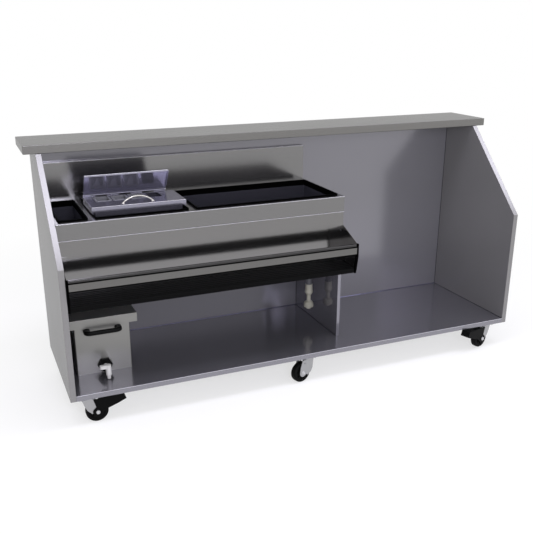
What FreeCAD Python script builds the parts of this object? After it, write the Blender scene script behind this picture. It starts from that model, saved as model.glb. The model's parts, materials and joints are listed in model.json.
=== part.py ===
import FreeCAD, Part
import math
import os

# Portable stainless-steel bar on casters, seen from the bartender's side.
# The drawing frame has X to the right from the left end panel's outer face,
# Y away from the bartender from the end panels' front edges, and Z up from the floor.
# At the very end every piece moves to the part frame: origin on the floor, under the
# middle of the overall length and depth.

V = FreeCAD.Vector

# ---------------------------------------------------------------- driving dimensions, mm
# Shared sheet metal values
SHEET = 1.5
BEND_R = 2.0
EDGE_R = 1.5
SEAT_GAP = 0.3
SLIDE_GAP = 1.6
SHAFT_GAP = 0.05

# Carcass: two end panels with a sloping front edge, deck, back, customer-side cladding
CARCASS_LENGTH = 2336.8
CARCASS_DEPTH = 642.0
END_PANEL_T = 25.4
SKIN_T = 1.2
CORE_GAP = 0.1
END_PANEL_H = 1009.0
SLOPE_START_H = 601.0
SLOPE_TOP_Y = 398.0
DECK_T = 25.4
BACK_T = 11.5
CLADDING_T = 1.2

# Bar top
TOP_T = 38.1
TOP_DEPTH = 298.0
TOP_FRONT_Y = 403.0
TOP_OVERHANG = 50.8
TOP_EDGE_R = 2.5

# Casters: 4 inch wheels on swivel forks
WHEEL_R = 50.8
WHEEL_W = 32.0
WHEEL_TREAD_R = 5.0
WHEEL_HUB_R = 15.0
WHEEL_RECESS = 5.0
AXLE_R = 6.0
AXLE_HEAD_R = 9.0
AXLE_HEAD_T = 5.0
CASTER_H = 127.0
CASTER_TRAIL = 37.0
PLATE_L = 92.0
PLATE_W = 64.0
PLATE_T = 3.0
PLATE_CORNER_R = 8.0
BOLT_SPACING_X = 72.0
BOLT_SPACING_Y = 44.0
BOLT_R = 4.0
BOLT_HEAD_R = 6.5
BOLT_HEAD_T = 5.0
BOLT_DEPTH = 16.0
RACE_R = 26.0
RACE_H = 7.0
KINGPIN_R = 5.0
KINGPIN_HEAD_R = 8.0
KINGPIN_HEAD_T = 3.0
CROWN_BACK = 28.0
CROWN_FRONT = 40.0
CROWN_T = 5.0
FORK_T = 3.0
FORK_BOSS_R = 20.0
FORK_HOLE_R = 3.0
BRAKE_T = 2.5
BRAKE_BOSS_R = 22.0
BRAKE_REACH = 131.0
BRAKE_TOP_DROP = 11.0
BRAKE_POCKET = 88.0
BRAKE_WHEEL_GAP = 3.5
FRONT_ROW_Y = 38.0
REAR_ROW_INSET = 70.0
CASTER_X = {"left": 77.0, "middle": 1147.0, "right": 2222.0}
CASTER_ANGLE = {
    ("front", "left"): 2.0,
    ("front", "middle"): 195.0,
    ("front", "right"): 197.0,
    ("rear", "left"): 24.0,
    ("rear", "middle"): 172.0,
    ("rear", "right"): 214.0,
}
BRAKED = [("front", "left"), ("front", "right")]

# Underbar unit: deck with three openings, apron, backsplash, insulated casing
UNIT_SIDE_GAP = 0.6
UNIT_RIGHT_X = 1386.0
UNIT_FRONT_Y = 141.0
UNIT_TOP_H = 755.5
APRON_H = 76.0
APRON_HEM = 12.0
APRON_STEP = 2.0
SPLASH_HEADROOM = 76.5
SPLASH_T = 23.0
SPLASH_RETURN = 20.0
CASING_T = 1.2
CASING_BOTTOM_H = 431.0
INSULATION_FLOOR = 24.0

# Bin openings, left to right, with their black breaker rims
BIN_LEFT_MARGIN = 15.0
BIN_WIDTHS = {"left": 125.0, "middle": 417.0, "right": 715.0}
BIN_SPACING = {"left": 30.5, "middle": 35.5}
BIN_FRONT_MARGIN = 25.0
BIN_LENGTH = 374.0
RIM_RISE = 9.0
RIM_DROP = 19.5
RIM_W = 6.0
RIM_LEG_T = 3.0
RIM_CORNER_R = 9.0
LINER_T = 1.2
LINER_FLOOR_R = 2.0

# Speed rail
RAIL_FLOOR_H = 430.5
RAIL_FRONT_Y = 12.0
RAIL_NOSE_H = 22.0
RAIL_LINER_T = 2.5
CHANNEL_FRONT_Y = -5.0
CHANNEL_DEPTH = 14.0
CHANNEL_BOTTOM_H = 501.0
CHANNEL_TOP_H = 554.0
BUMPER_H = 40.0
BUMPER_T = 4.0
BUMPER_LIP = 4.5
BAND_T = 1.5
RAIL_END_BACK_H = 612.0
TRIM_W = 10.0
TRIM_GRIP = 8.0
TRIM_COVER = 2.5
TAB_W = 26.0
SCREW_R = 3.0
SCREW_HEAD_R = 5.0
SCREW_HEAD_T = 2.5
SCREW_LENGTH = 8.0
SCREW_ABOVE_FLOOR = 40.0
SCREW_BELOW_TOP = 25.0

# Divider under the unit's right end
DIVIDER_T = 17.0
DIVIDER_INSET = 2.0

# Drain of the right bin
DRAIN_X = 1310.0
DRAIN_PIPE_R = 16.0
DRAIN_BORE_R = 13.0
STRAINER_R = 28.0
STRAINER_T = 2.0
STRAINER_HOLES = 6
STRAINER_HOLE_R = 1.8
STRAINER_RING_R = 8.0
DRAIN_PIPE_END_H = 230.0
ADAPTOR_TOP_R = 18.5
ADAPTOR_NECK_R = 10.5
ADAPTOR_FLARE_R = 22.0
ADAPTOR_BOTTOM_H = 142.0
ADAPTOR_SOCKET = 18.0
COLLAR_R = 25.0
COLLAR_H = 20.0
COLLAR_GROOVE = 2.0
SPOUT_R = 12.0
SPOUT_BORE_R = 9.0
SPOUT_LENGTH = 30.0

# Condiment tray over the middle bin
TRAY_W = 424.0
TRAY_DEPTH = 214.0
TRAY_FRONT_Y = 222.5
TRAY_H = 29.0
TRAY_T = 1.2
TRAY_FOOT = 9.0
GLIDE_H = 6.0
GLIDE_W = 8.0
WELL_DROP = 20.0
WELL_FRONT_GAP = 8.0
PAN_COUNT = 4
PAN_W = 73.0
PAN_LENGTH = 93.0
PAN_PITCH = 79.0
PAN_FIRST_X = 38.5
PAN_BACK_MARGIN = 20.0
PAN_RIM = 6.5
PAN_RIM_T = 2.0
PAN_WALL = 1.5
PAN_DEPTH = 62.0
PAN_TAPER = 4.0
PAN_CORNER_R = 9.0
PAN_CLEARANCE = 0.5
LID_WIDTH = 385.0
LID_LENGTH = 126.0
LID_T = 1.2
LID_FLANGE = 10.2
LID_OPEN_DEG = 54.5
HINGE_R = 3.5
HINGE_PIN_R = 1.8
HINGE_BACK = 3.5
HINGE_RISE = 7.0
KNUCKLES = 7
KNUCKLE_GAP = 0.4
HANDLE_SPAN = 138.0
HANDLE_RISE = 31.0
HANDLE_WIRE_R = 3.0
HANDLE_INSET = 33.0

# Waste water tank on the deck
TANK_LID_X = 30.0
TANK_LID_W = 323.0
TANK_OVERHANG = 36.0
TANK_FRONT_Y = 196.0
TANK_DEPTH = 362.0
TANK_H = 271.5
TANK_T = 1.5
TANK_LID_SKIRT = 42.0
TANK_LID_FRONT = 6.0
GRIP_SPAN = 154.0
GRIP_R = 8.0
GRIP_STANDOFF = 38.0
GRIP_BEND_R = 14.0
GRIP_H = 218.0
SPIGOT_X = 192.0
SPIGOT_H = 38.0
SPIGOT_R = 10.0
NUT_FLATS = 60.0
NUT_T = 14.0
SPIGOT_REACH = 82.0
VALVE_R = 12.5
VALVE_TOP_H = 54.0
NOZZLE_TIP_R = 8.0
NOZZLE_BORE_R = 6.0
NOZZLE_TIP_H = 4.0
LEVER_L = 39.0
LEVER_W = 18.0
LEVER_H = 17.0
LEVER_STEM_R = 5.0
LEVER_STEM_DEPTH = 12.0

# ---------------------------------------------------------------- derived places
BASE_Z = CASTER_H
DECK_TOP_Z = BASE_Z + DECK_T
INSIDE_X0 = END_PANEL_T
INSIDE_X1 = CARCASS_LENGTH - END_PANEL_T
BACK_Y = CARCASS_DEPTH - CLADDING_T - BACK_T
TOP_Z = BASE_Z + END_PANEL_H
UNIT_X0 = INSIDE_X0 + UNIT_SIDE_GAP
UNIT_X1 = UNIT_RIGHT_X
UNIT_TOP_Z = BASE_Z + UNIT_TOP_H
UNIT_UNDER_Z = UNIT_TOP_Z - SHEET
UNIT_BACK_Y = BACK_Y - SEAT_GAP
SPLASH_Y = UNIT_BACK_Y - SPLASH_T
APRON_Z = UNIT_TOP_Z - APRON_H
CASING_Z = BASE_Z + CASING_BOTTOM_H
CASING_Y = UNIT_FRONT_Y + APRON_HEM + SEAT_GAP
RAIL_WALL_Y = UNIT_FRONT_Y + APRON_STEP
DIVIDER_FRONT_Y = RAIL_WALL_Y + SEAT_GAP
RAIL_X0 = UNIT_X0 + (TRIM_W - SHEET) / 2
RAIL_X1 = UNIT_X1
RAIL_Z = BASE_Z + RAIL_FLOOR_H
RAIL_TOP_Z = APRON_Z - SEAT_GAP
CHANNEL_Z0 = BASE_Z + CHANNEL_BOTTOM_H
CHANNEL_Z1 = BASE_Z + CHANNEL_TOP_H
RIM_TOP_Z = UNIT_TOP_Z + RIM_RISE
LINER_TOP_Z = UNIT_TOP_Z - RIM_DROP
LINER_Z = CASING_Z + CASING_T + INSULATION_FLOOR
BIN_Y0 = UNIT_FRONT_Y + BIN_FRONT_MARGIN
BIN_Y1 = BIN_Y0 + BIN_LENGTH
BIN_MID_Y = (BIN_Y0 + BIN_Y1) / 2
DRAIN_Y = BIN_MID_Y
AXLE_Z = -(CASTER_H - WHEEL_R)


def bin_spans():
    """Left and right edge of each opening's rim, from left to right."""
    x = UNIT_X0 + BIN_LEFT_MARGIN
    spans = {}
    for name, width in BIN_WIDTHS.items():
        spans[name] = (x, x + width)
        x += width + BIN_SPACING.get(name, 0.0)
    return spans


BIN_SPANS = bin_spans()
TRAY_MID_X = sum(BIN_SPANS["middle"]) / 2
TRAY_X0 = TRAY_MID_X - TRAY_W / 2
TRAY_X1 = TRAY_MID_X + TRAY_W / 2
TRAY_BACK_Y = TRAY_FRONT_Y + TRAY_DEPTH
TRAY_TOP_Z = RIM_TOP_Z + TRAY_H
TRAY_UNDER_Z = TRAY_TOP_Z - TRAY_T
TRAY_FOOT_Z = RIM_TOP_Z + GLIDE_H
HINGE_Y = TRAY_BACK_Y + HINGE_BACK
HINGE_Z = TRAY_TOP_Z + HINGE_RISE
LID_X0 = TRAY_X0 + EDGE_R
TANK_X0 = TANK_LID_X + TANK_OVERHANG
TANK_X1 = TANK_LID_X + TANK_LID_W - TANK_OVERHANG
TANK_TOP_Z = DECK_TOP_Z + TANK_H
SPIGOT_Z = DECK_TOP_Z + SPIGOT_H
VALVE_Y = TANK_FRONT_Y - SPIGOT_REACH

NODES = {}


# ---------------------------------------------------------------- general shapes
def block(x0, x1, y0, y1, z0, z1):
    return Part.makeBox(x1 - x0, y1 - y0, z1 - z0, V(x0, y0, z0))


def rounded_block(x0, x1, y0, y1, z0, z1, radius):
    """A block whose four upright edges are rounded."""
    body = block(x0, x1, y0, y1, z0, z1)
    upright = [e for e in body.Edges if abs(e.tangentAt(e.FirstParameter).z) > 0.9]
    return body.makeFillet(radius, upright)


def rod(radius, start, direction, length):
    return Part.makeCylinder(radius, length, start, direction)


def prism_x(points_yz, x0, x1):
    """A straight prism along X from a closed YZ outline."""
    corners = [V(x0, y, z) for y, z in points_yz]
    outline = Part.makePolygon(corners + corners[:1])
    return Part.Face(outline).extrude(V(x1 - x0, 0, 0))


def turned(points_rz, axis_point):
    """A solid of revolution about a vertical axis from a closed radius-height outline."""
    corners = [axis_point + V(r, 0, z) for r, z in points_rz]
    outline = Part.makePolygon(corners + corners[:1])
    return Part.Face(outline).revolve(axis_point, V(0, 0, 1), 360)


def offset_path(points, distance):
    """Shift an open polyline sideways, to the left of its direction."""
    normals = []
    for a, b in zip(points, points[1:]):
        length = math.hypot(b[0] - a[0], b[1] - a[1])
        normals.append((-(b[1] - a[1]) / length, (b[0] - a[0]) / length))
    shifted = []
    for i, p in enumerate(points):
        before = normals[max(i - 1, 0)]
        after = normals[min(i, len(normals) - 1)]
        share = distance / (1 + before[0] * after[0] + before[1] * after[1])
        shifted.append((p[0] + share * (before[0] + after[0]), p[1] + share * (before[1] + after[1])))
    return shifted


def bent_edges(points, radii, x):
    """Straight runs joined by tangent arcs, in the YZ plane at x."""
    edges = []
    start = V(x, *points[0])
    for i in range(1, len(points) - 1):
        corner = V(x, *points[i])
        into = (V(x, *points[i - 1]) - corner).normalize()
        out = (V(x, *points[i + 1]) - corner).normalize()
        half = into.getAngle(out) / 2
        setback = radii[i - 1] / math.tan(half)
        bisector = (into + out).normalize()
        centre = corner + bisector * (radii[i - 1] / math.sin(half))
        first = corner + into * setback
        last = corner + out * setback
        middle = centre - bisector * radii[i - 1]
        edges.append(Part.makeLine(start, first))
        edges.append(Part.Arc(first, middle, last).toShape())
        start = last
    edges.append(Part.makeLine(start, V(x, *points[-1])))
    return edges


def bent_sheet(points_yz, thickness, inside_r, x0, x1):
    """Sheet metal folded along an open YZ path, running along X.

    The path is the face on the right of its direction, and the sheet lies on its left.
    Each fold keeps its inside radius, and its outside radius is one thickness more.
    """
    other = offset_path(points_yz, thickness)
    near_r = []
    far_r = []
    for a, b, c in zip(points_yz, points_yz[1:], points_yz[2:]):
        turn = (b[0] - a[0]) * (c[1] - b[1]) - (b[1] - a[1]) * (c[0] - b[0])
        near_r.append(inside_r + thickness if turn > 0 else inside_r)
        far_r.append(inside_r if turn > 0 else inside_r + thickness)
    near = bent_edges(points_yz, near_r, x0)
    far = bent_edges(other, far_r, x0)
    ends = [
        Part.makeLine(V(x0, *points_yz[-1]), V(x0, *other[-1])),
        Part.makeLine(V(x0, *points_yz[0]), V(x0, *other[0])),
    ]
    outline = Part.Wire(Part.__sortEdges__(near + far + ends))
    return Part.Face(outline).extrude(V(x1 - x0, 0, 0))


def keep(name, *shapes):
    """Store a node: one solid, or a group of separate solids."""
    solids = [s for shape in shapes for s in shape.Solids]
    NODES[name] = solids[0] if len(solids) == 1 else Part.makeCompound(solids)


def softened(shape, radius, wanted):
    """Round the edges that a test picks."""
    return shape.makeFillet(radius, [e for e in shape.Edges if wanted(e)])


# ---------------------------------------------------------------- carcass
def inset_outline(outline, distance):
    """Shrink a closed outline, given anticlockwise, by the same distance all round."""
    return offset_path(outline + outline[:2], distance)[1:-1]


def skin_and_core(board, x0, x1, y0, y1, z0, z1):
    """Hollow a board to its steel skin, and make the core that fills it."""
    t = SKIN_T
    skin = board.cut(block(x0 + t, x1 - t, y0 + t, y1 - t, z0 + t, z1 - t))
    t += CORE_GAP
    return skin, block(x0 + t, x1 - t, y0 + t, y1 - t, z0 + t, z1 - t)


def end_panel(x0):
    outline = [
        (0, BASE_Z),
        (CARCASS_DEPTH, BASE_Z),
        (CARCASS_DEPTH, TOP_Z),
        (SLOPE_TOP_Y, TOP_Z),
        (0, BASE_Z + SLOPE_START_H),
    ]
    x1 = x0 + END_PANEL_T
    panel = prism_x(outline, x0, x1)
    panel = panel.makeFillet(EDGE_R, panel.Edges)
    t = SKIN_T
    skin = panel.cut(prism_x(inset_outline(outline, t), x0 + t, x1 - t))
    t += CORE_GAP
    return skin, prism_x(inset_outline(outline, t), x0 + t, x1 - t)


def back_panel():
    bounds = (INSIDE_X0, INSIDE_X1, BACK_Y, BACK_Y + BACK_T, BASE_Z, TOP_Z)
    return skin_and_core(block(*bounds), *bounds)


def bottom_deck():
    bounds = (INSIDE_X0, INSIDE_X1, 0, BACK_Y, BASE_Z, DECK_TOP_Z)
    deck = softened(block(*bounds), EDGE_R, lambda e: e.BoundBox.YMax < EDGE_R and e.BoundBox.XLength > 1)
    skin, core = skin_and_core(deck, *bounds)
    holes = []
    for x, y, angle in caster_places().values():
        for px, py in bolt_points(x, y):
            holes.append(rod(BOLT_R + SEAT_GAP, V(px, py, BASE_Z - 1), V(0, 0, 1), BOLT_DEPTH + 2))
    return skin.cut(holes), core.cut(holes)


def divider_panel():
    x1 = UNIT_X1 - DIVIDER_INSET
    bounds = (x1 - DIVIDER_T, x1, DIVIDER_FRONT_Y, BACK_Y, DECK_TOP_Z, CASING_Z)
    front = DIVIDER_FRONT_Y + EDGE_R
    panel = softened(block(*bounds), EDGE_R, lambda e: e.BoundBox.YMax < front and e.BoundBox.ZLength > 1)
    return skin_and_core(panel, *bounds)


def bar_top():
    x0 = -TOP_OVERHANG
    x1 = CARCASS_LENGTH + TOP_OVERHANG
    bounds = (x0, x1, TOP_FRONT_Y, TOP_FRONT_Y + TOP_DEPTH, TOP_Z, TOP_Z + TOP_T)
    board = block(*bounds)
    return skin_and_core(board.makeFillet(TOP_EDGE_R, board.Edges), *bounds)


def build_carcass():
    """Boards with steel skins over foam cores, and the sheet on the customer's side.

    The cores are kept with the foam of the bins.
    """
    boards = {
        "bar_top": bar_top(),
        "left_end_panel": end_panel(0),
        "right_end_panel": end_panel(INSIDE_X1),
        "back_panel": back_panel(),
        "bottom_deck": bottom_deck(),
        "divider_panel": divider_panel(),
    }
    for name, (skin, core) in boards.items():
        keep(name, skin)
    y = BACK_Y + BACK_T
    keep("customer_cladding", block(INSIDE_X0, INSIDE_X1, y, y + CLADDING_T, BASE_Z, TOP_Z))
    keep("bin_insulation", bin_insulation(), *[core for skin, core in boards.values()])


# ---------------------------------------------------------------- casters
def rear_row_y():
    return BACK_Y - REAR_ROW_INSET


def caster_places():
    """Swivel axis and trail angle of each caster."""
    rows = {"front": FRONT_ROW_Y, "rear": rear_row_y()}
    places = {}
    for row, y in rows.items():
        for side, x in CASTER_X.items():
            places[(row, side)] = (x, y, CASTER_ANGLE[(row, side)])
    return places


def bolt_points(x, y):
    signs = [(-1, -1), (1, -1), (1, 1), (-1, 1)]
    return [(x + sx * BOLT_SPACING_X / 2, y + sy * BOLT_SPACING_Y / 2) for sx, sy in signs]


def caster_plate():
    """Mounting plate with its raceway and kingpin, at the swivel axis, below z = 0."""
    half_l = PLATE_L / 2
    half_w = PLATE_W / 2
    plate = rounded_block(-half_l, half_l, -half_w, half_w, -PLATE_T, 0, PLATE_CORNER_R)
    for px, py in bolt_points(0, 0):
        plate = plate.cut(rod(BOLT_R + SEAT_GAP, V(px, py, -PLATE_T - 1), V(0, 0, 1), PLATE_T + 2))
    race_z = -PLATE_T - RACE_H
    head_z = race_z - SEAT_GAP - CROWN_T - SEAT_GAP
    race = [
        (0, -PLATE_T),
        (RACE_R - 3, -PLATE_T),
        (RACE_R, -PLATE_T - 3),
        (RACE_R, race_z),
        (KINGPIN_R, race_z),
        (KINGPIN_R, head_z),
        (KINGPIN_HEAD_R, head_z),
        (KINGPIN_HEAD_R, head_z - KINGPIN_HEAD_T),
        (0, head_z - KINGPIN_HEAD_T),
    ]
    return plate.fuse(turned(race, V(0, 0, 0))).removeSplitter()


def fork_leg(side, braked):
    """One broad pressed leg with a rounded lower end round the axle."""
    crown_z = -PLATE_T - RACE_H - SEAT_GAP
    inner = WHEEL_W / 2 + FORK_T
    y0 = inner if side > 0 else -inner - FORK_T
    sweep = [(-20, -36), (-8, -62), (12, -82)] if braked else [(-22, -60), (-13, -80), (8, -93)]
    tail = [(CASTER_TRAIL + FORK_BOSS_R - 1, AXLE_Z + 8), (CASTER_TRAIL + 15, -44)]
    outline = [(-CROWN_BACK, crown_z)] + sweep + [(CASTER_TRAIL, AXLE_Z)] + tail
    outline.append((CROWN_FRONT, crown_z))
    corners = [V(x, y0, z) for x, z in outline]
    leg = Part.Face(Part.makePolygon(corners + corners[:1])).extrude(V(0, FORK_T, 0))
    leg = leg.fuse(rod(FORK_BOSS_R, V(CASTER_TRAIL, y0, AXLE_Z), V(0, 1, 0), FORK_T))
    return leg.cut(rod(FORK_HOLE_R, V(27, y0 - 1, -27), V(0, 1, 0), FORK_T + 2))


def caster_fork(braked):
    crown_z = -PLATE_T - RACE_H - SEAT_GAP
    half = WHEEL_W / 2 + 2 * FORK_T
    crown = block(-CROWN_BACK, CROWN_FRONT, -half, half, crown_z - CROWN_T, crown_z)
    fork = crown.fuse([fork_leg(1, braked), fork_leg(-1, braked)]).removeSplitter()
    fork = softened(fork, 2.0, lambda e: e.BoundBox.ZMin > crown_z - 0.01 and e.BoundBox.XLength > 20)
    bore = rod(KINGPIN_R + SHAFT_GAP, V(0, 0, crown_z - CROWN_T - 1), V(0, 0, 1), CROWN_T + 2)
    fork = fork.cut(bore)
    reach = half + 1
    axle_hole = rod(AXLE_R, V(CASTER_TRAIL, -reach, AXLE_Z), V(0, 1, 0), 2 * reach)
    return [fork.cut(axle_hole), caster_axle(braked)]


def caster_axle(braked):
    """Axle bolt with a low round head on each side."""
    half = WHEEL_W / 2 + 2 * FORK_T
    if braked:
        half += BRAKE_T + 2 * SEAT_GAP
    shank = rod(AXLE_R, V(CASTER_TRAIL, -half, AXLE_Z), V(0, 1, 0), 2 * half)
    heads = []
    for start, way in ((half, 1), (-half, -1)):
        head = rod(AXLE_HEAD_R, V(CASTER_TRAIL, start, AXLE_Z), V(0, way, 0), AXLE_HEAD_T)
        tip = start + way * AXLE_HEAD_T
        rim = [e for e in head.Edges if abs(e.BoundBox.Center.y - tip) < 0.1 and len(e.Vertexes) == 1]
        heads.append(head.makeFillet(1.5, rim))
    return shank.fuse(heads).removeSplitter()


def caster_wheel():
    """Wheel with a crowned tread, recessed sides and a hub, turned about its axle."""
    half = WHEEL_W / 2
    hub = half + FORK_T - SEAT_GAP
    bore = AXLE_R + SHAFT_GAP
    rim_r = WHEEL_R - 3 * WHEEL_TREAD_R
    side = [
        (bore, hub),
        (WHEEL_HUB_R, hub),
        (WHEEL_HUB_R + 2, half - WHEEL_RECESS),
        (rim_r - 2, half - WHEEL_RECESS),
        (rim_r, half),
        (WHEEL_R - WHEEL_TREAD_R, half),
        (WHEEL_R, half - WHEEL_TREAD_R),
    ]
    outline = side + [(r, -y) for r, y in reversed(side)]
    corners = [V(CASTER_TRAIL + r, y, AXLE_Z) for r, y in outline]
    face = Part.Face(Part.makePolygon(corners + corners[:1]))
    return face.revolve(V(CASTER_TRAIL, 0, AXLE_Z), V(0, 1, 0), 360)


def caster_brake():
    """Foot brake: a hood over the wheel, hung on the axle by two cheeks, with a pedal at its end."""
    top = -BRAKE_TOP_DROP
    tip_x = CASTER_TRAIL + BRAKE_REACH
    inner = WHEEL_W / 2 + 2 * FORK_T + SEAT_GAP
    outer = inner + BRAKE_T
    axle = V(CASTER_TRAIL, 0, AXLE_Z)
    outline = [
        (20, top - 2),
        (24, top),
        (tip_x - 10, top + 4),
        (tip_x, top - 25),
        (tip_x - 37, top - 40),
        (tip_x - 83, top - 55),
        (CASTER_TRAIL + BRAKE_BOSS_R - 2, AXLE_Z - 8),
        (CASTER_TRAIL - BRAKE_BOSS_R + 3, AXLE_Z + 8),
        (31, AXLE_Z + 24),
    ]

    def slab(y0, y1):
        corners = [V(x, y0, z) for x, z in outline]
        return Part.Face(Part.makePolygon(corners + corners[:1])).extrude(V(0, y1 - y0, 0))

    hood = slab(-outer, outer)
    bosses = [rod(BRAKE_BOSS_R, axle + V(0, y0, 0), V(0, 1, 0), BRAKE_T) for y0 in (inner, -outer)]
    pocket_x1 = CASTER_TRAIL + BRAKE_POCKET
    crown_x1 = CROWN_FRONT + 6
    pocket = block(0, pocket_x1, -inner, inner, AXLE_Z - WHEEL_R, top - BRAKE_T)
    crown_room = block(0, crown_x1, -inner, inner, AXLE_Z - WHEEL_R, 10)
    hood = hood.fuse(bosses).cut(pocket).cut(crown_room)
    bore = rod(AXLE_R + SHAFT_GAP, axle + V(0, -outer - 1, 0), V(0, 1, 0), 2 * outer + 2)
    tread_room = rod(WHEEL_R + BRAKE_WHEEL_GAP, axle + V(0, -inner, 0), V(0, 1, 0), 2 * inner)
    hood = hood.cut(bore).cut(tread_room).removeSplitter()
    return softened(hood, 1.5, lambda e: e.BoundBox.YLength > 2 * inner and e.BoundBox.XMin > pocket_x1)


def build_casters():
    plates = []
    bolts = []
    for (row, side), (x, y, angle) in caster_places().items():
        place = FreeCAD.Placement(V(x, y, BASE_Z), FreeCAD.Rotation(V(0, 0, 1), angle))
        plate = caster_plate()
        plate.translate(V(x, y, BASE_Z))
        plates.append(plate)
        for px, py in bolt_points(x, y):
            shank = rod(BOLT_R, V(px, py, BASE_Z - PLATE_T), V(0, 0, 1), PLATE_T + BOLT_DEPTH)
            head_z = BASE_Z - PLATE_T - BOLT_HEAD_T
            head = rod(BOLT_HEAD_R, V(px, py, head_z), V(0, 0, 1), BOLT_HEAD_T)
            bolts.append(shank.fuse(head).removeSplitter())
        braked = (row, side) in BRAKED
        fork, axle = caster_fork(braked)
        pieces = {"caster_fork": [fork, axle], "caster_wheel": [caster_wheel()]}
        if braked:
            pieces["caster_brake"] = [caster_brake()]
        for kind, shapes in pieces.items():
            for shape in shapes:
                shape.Placement = place.multiply(shape.Placement)
            keep(f"{kind}_{row}_{side}", *shapes)
    keep("caster_plates", *plates)
    keep("caster_bolts", *bolts)


# ---------------------------------------------------------------- underbar unit
def hollow_tub(x0, x1, y0, y1, z0, z1, wall, corner_r, floor_r):
    """An open-topped pressed tub with rounded corners and a rounded floor edge."""
    def solid(x0, x1, y0, y1, z0, z1, upright_r, bottom_r):
        body = rounded_block(x0, x1, y0, y1, z0, z1, upright_r)
        bottom = [e for e in body.Edges if e.BoundBox.ZMax < z0 + 0.01]
        return body.makeFillet(bottom_r, bottom)

    outer = solid(x0, x1, y0, y1, z0, z1, corner_r + wall, floor_r + wall)
    inner = solid(x0 + wall, x1 - wall, y0 + wall, y1 - wall, z0 + wall, z1 + 20, corner_r, floor_r)
    return outer.cut(inner)


def frame_ring(x0, x1, y0, y1, z0, z1, inset0, inset1, corner_r):
    """A ring round an opening, between two insets from its outer edge."""
    def plug(inset, low, high):
        radius = max(corner_r - inset, 1.0)
        return rounded_block(x0 + inset, x1 - inset, y0 + inset, y1 - inset, low, high, radius)

    return plug(inset0, z0, z1).cut(plug(inset1, z0 - 1, z1 + 1))


def underbar_deck():
    """Deck sheet folded down into the apron, with three openings and a right end skirt."""
    path = [
        (UNIT_FRONT_Y + APRON_HEM, APRON_Z),
        (UNIT_FRONT_Y, APRON_Z),
        (UNIT_FRONT_Y, UNIT_TOP_Z),
        (UNIT_BACK_Y, UNIT_TOP_Z),
    ]
    deck = bent_sheet([(y, z) for y, z in reversed(path)], SHEET, BEND_R, UNIT_X0, UNIT_X1)
    skirt_y0 = UNIT_FRONT_Y + SHEET + BEND_R
    skirt = block(UNIT_X1 - SHEET, UNIT_X1, skirt_y0, UNIT_BACK_Y, APRON_Z, UNIT_UNDER_Z + 0.5)
    deck = deck.fuse(skirt).removeSplitter()
    inset = RIM_W - RIM_LEG_T - SEAT_GAP
    for x0, x1 in BIN_SPANS.values():
        radius = max(RIM_CORNER_R - inset, 1.0)
        y0 = BIN_Y0 + inset
        y1 = BIN_Y1 - inset
        hole = rounded_block(x0 + inset, x1 - inset, y0, y1, UNIT_TOP_Z - 10, UNIT_TOP_Z + 10, radius)
        deck = deck.cut(hole)
    return deck


def rim(x0, x1):
    """Breaker rim: a cap that stands on the deck and a leg through its opening."""
    cap = frame_ring(x0, x1, BIN_Y0, BIN_Y1, UNIT_TOP_Z, RIM_TOP_Z, 0, RIM_W, RIM_CORNER_R)
    leg_inset = RIM_W - RIM_LEG_T
    leg = frame_ring(x0, x1, BIN_Y0, BIN_Y1, LINER_TOP_Z, UNIT_TOP_Z, leg_inset, RIM_W, RIM_CORNER_R)
    cap = softened(cap, 1.0, lambda e: e.BoundBox.ZMin > RIM_TOP_Z - 0.01)
    return cap.fuse(leg).removeSplitter()


def liner(x0, x1):
    inset = RIM_W - LINER_T
    corner_r = max(RIM_CORNER_R - RIM_W, 1.0)
    y0 = BIN_Y0 + inset
    y1 = BIN_Y1 - inset
    return hollow_tub(x0 + inset, x1 - inset, y0, y1, LINER_Z, LINER_TOP_Z, LINER_T, corner_r, LINER_FLOOR_R)


def backsplash():
    """Folded splash panel with a return on top and a closed right end."""
    top_z = TOP_Z - SPLASH_HEADROOM
    path = [
        (SPLASH_Y, UNIT_TOP_Z),
        (SPLASH_Y, top_z),
        (UNIT_BACK_Y, top_z),
        (UNIT_BACK_Y, top_z - SPLASH_RETURN),
    ]
    folded = bent_sheet([(y, z) for y, z in reversed(path)], SHEET, BEND_R, UNIT_X0, UNIT_X1)
    end = block(UNIT_X1 - SHEET, UNIT_X1, SPLASH_Y + 1, UNIT_BACK_Y - 1, UNIT_TOP_Z, top_z - 1)
    return folded.fuse(end).removeSplitter()


def casing_box():
    x1 = UNIT_X1 - SHEET
    return UNIT_X0, x1, CASING_Y, UNIT_BACK_Y, CASING_Z, UNIT_UNDER_Z


def bin_casing():
    """Outer casing under the deck, open at the top, with the drain's hole in its floor."""
    x0, x1, y0, y1, z0, z1 = casing_box()
    outer = block(x0, x1, y0, y1, z0, z1)
    t = CASING_T
    casing = outer.cut(block(x0 + t, x1 - t, y0 + t, y1 - t, z0 + t, z1 + 1))
    hole = rod(DRAIN_PIPE_R + SEAT_GAP, V(DRAIN_X, DRAIN_Y, z0 - 1), V(0, 0, 1), t + 2)
    return casing.cut(hole)


def bin_insulation():
    """Foam between the casing and the three liners."""
    x0, x1, y0, y1, z0, z1 = casing_box()
    t = CASING_T
    foam = block(x0 + t, x1 - t, y0 + t, y1 - t, z0 + t, z1)
    inset = RIM_W - RIM_LEG_T - SEAT_GAP
    for bin_x0, bin_x1 in BIN_SPANS.values():
        a = bin_x0 + inset
        b = bin_x1 - inset
        room = rounded_block(a, b, BIN_Y0 + inset, BIN_Y1 - inset, LINER_Z, z1 + 1, RIM_CORNER_R - inset)
        foam = foam.cut(room)
    hole = rod(DRAIN_PIPE_R + SEAT_GAP, V(DRAIN_X, DRAIN_Y, z0), V(0, 0, 1), LINER_Z - z0 + 1)
    return foam.cut(hole)


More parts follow.
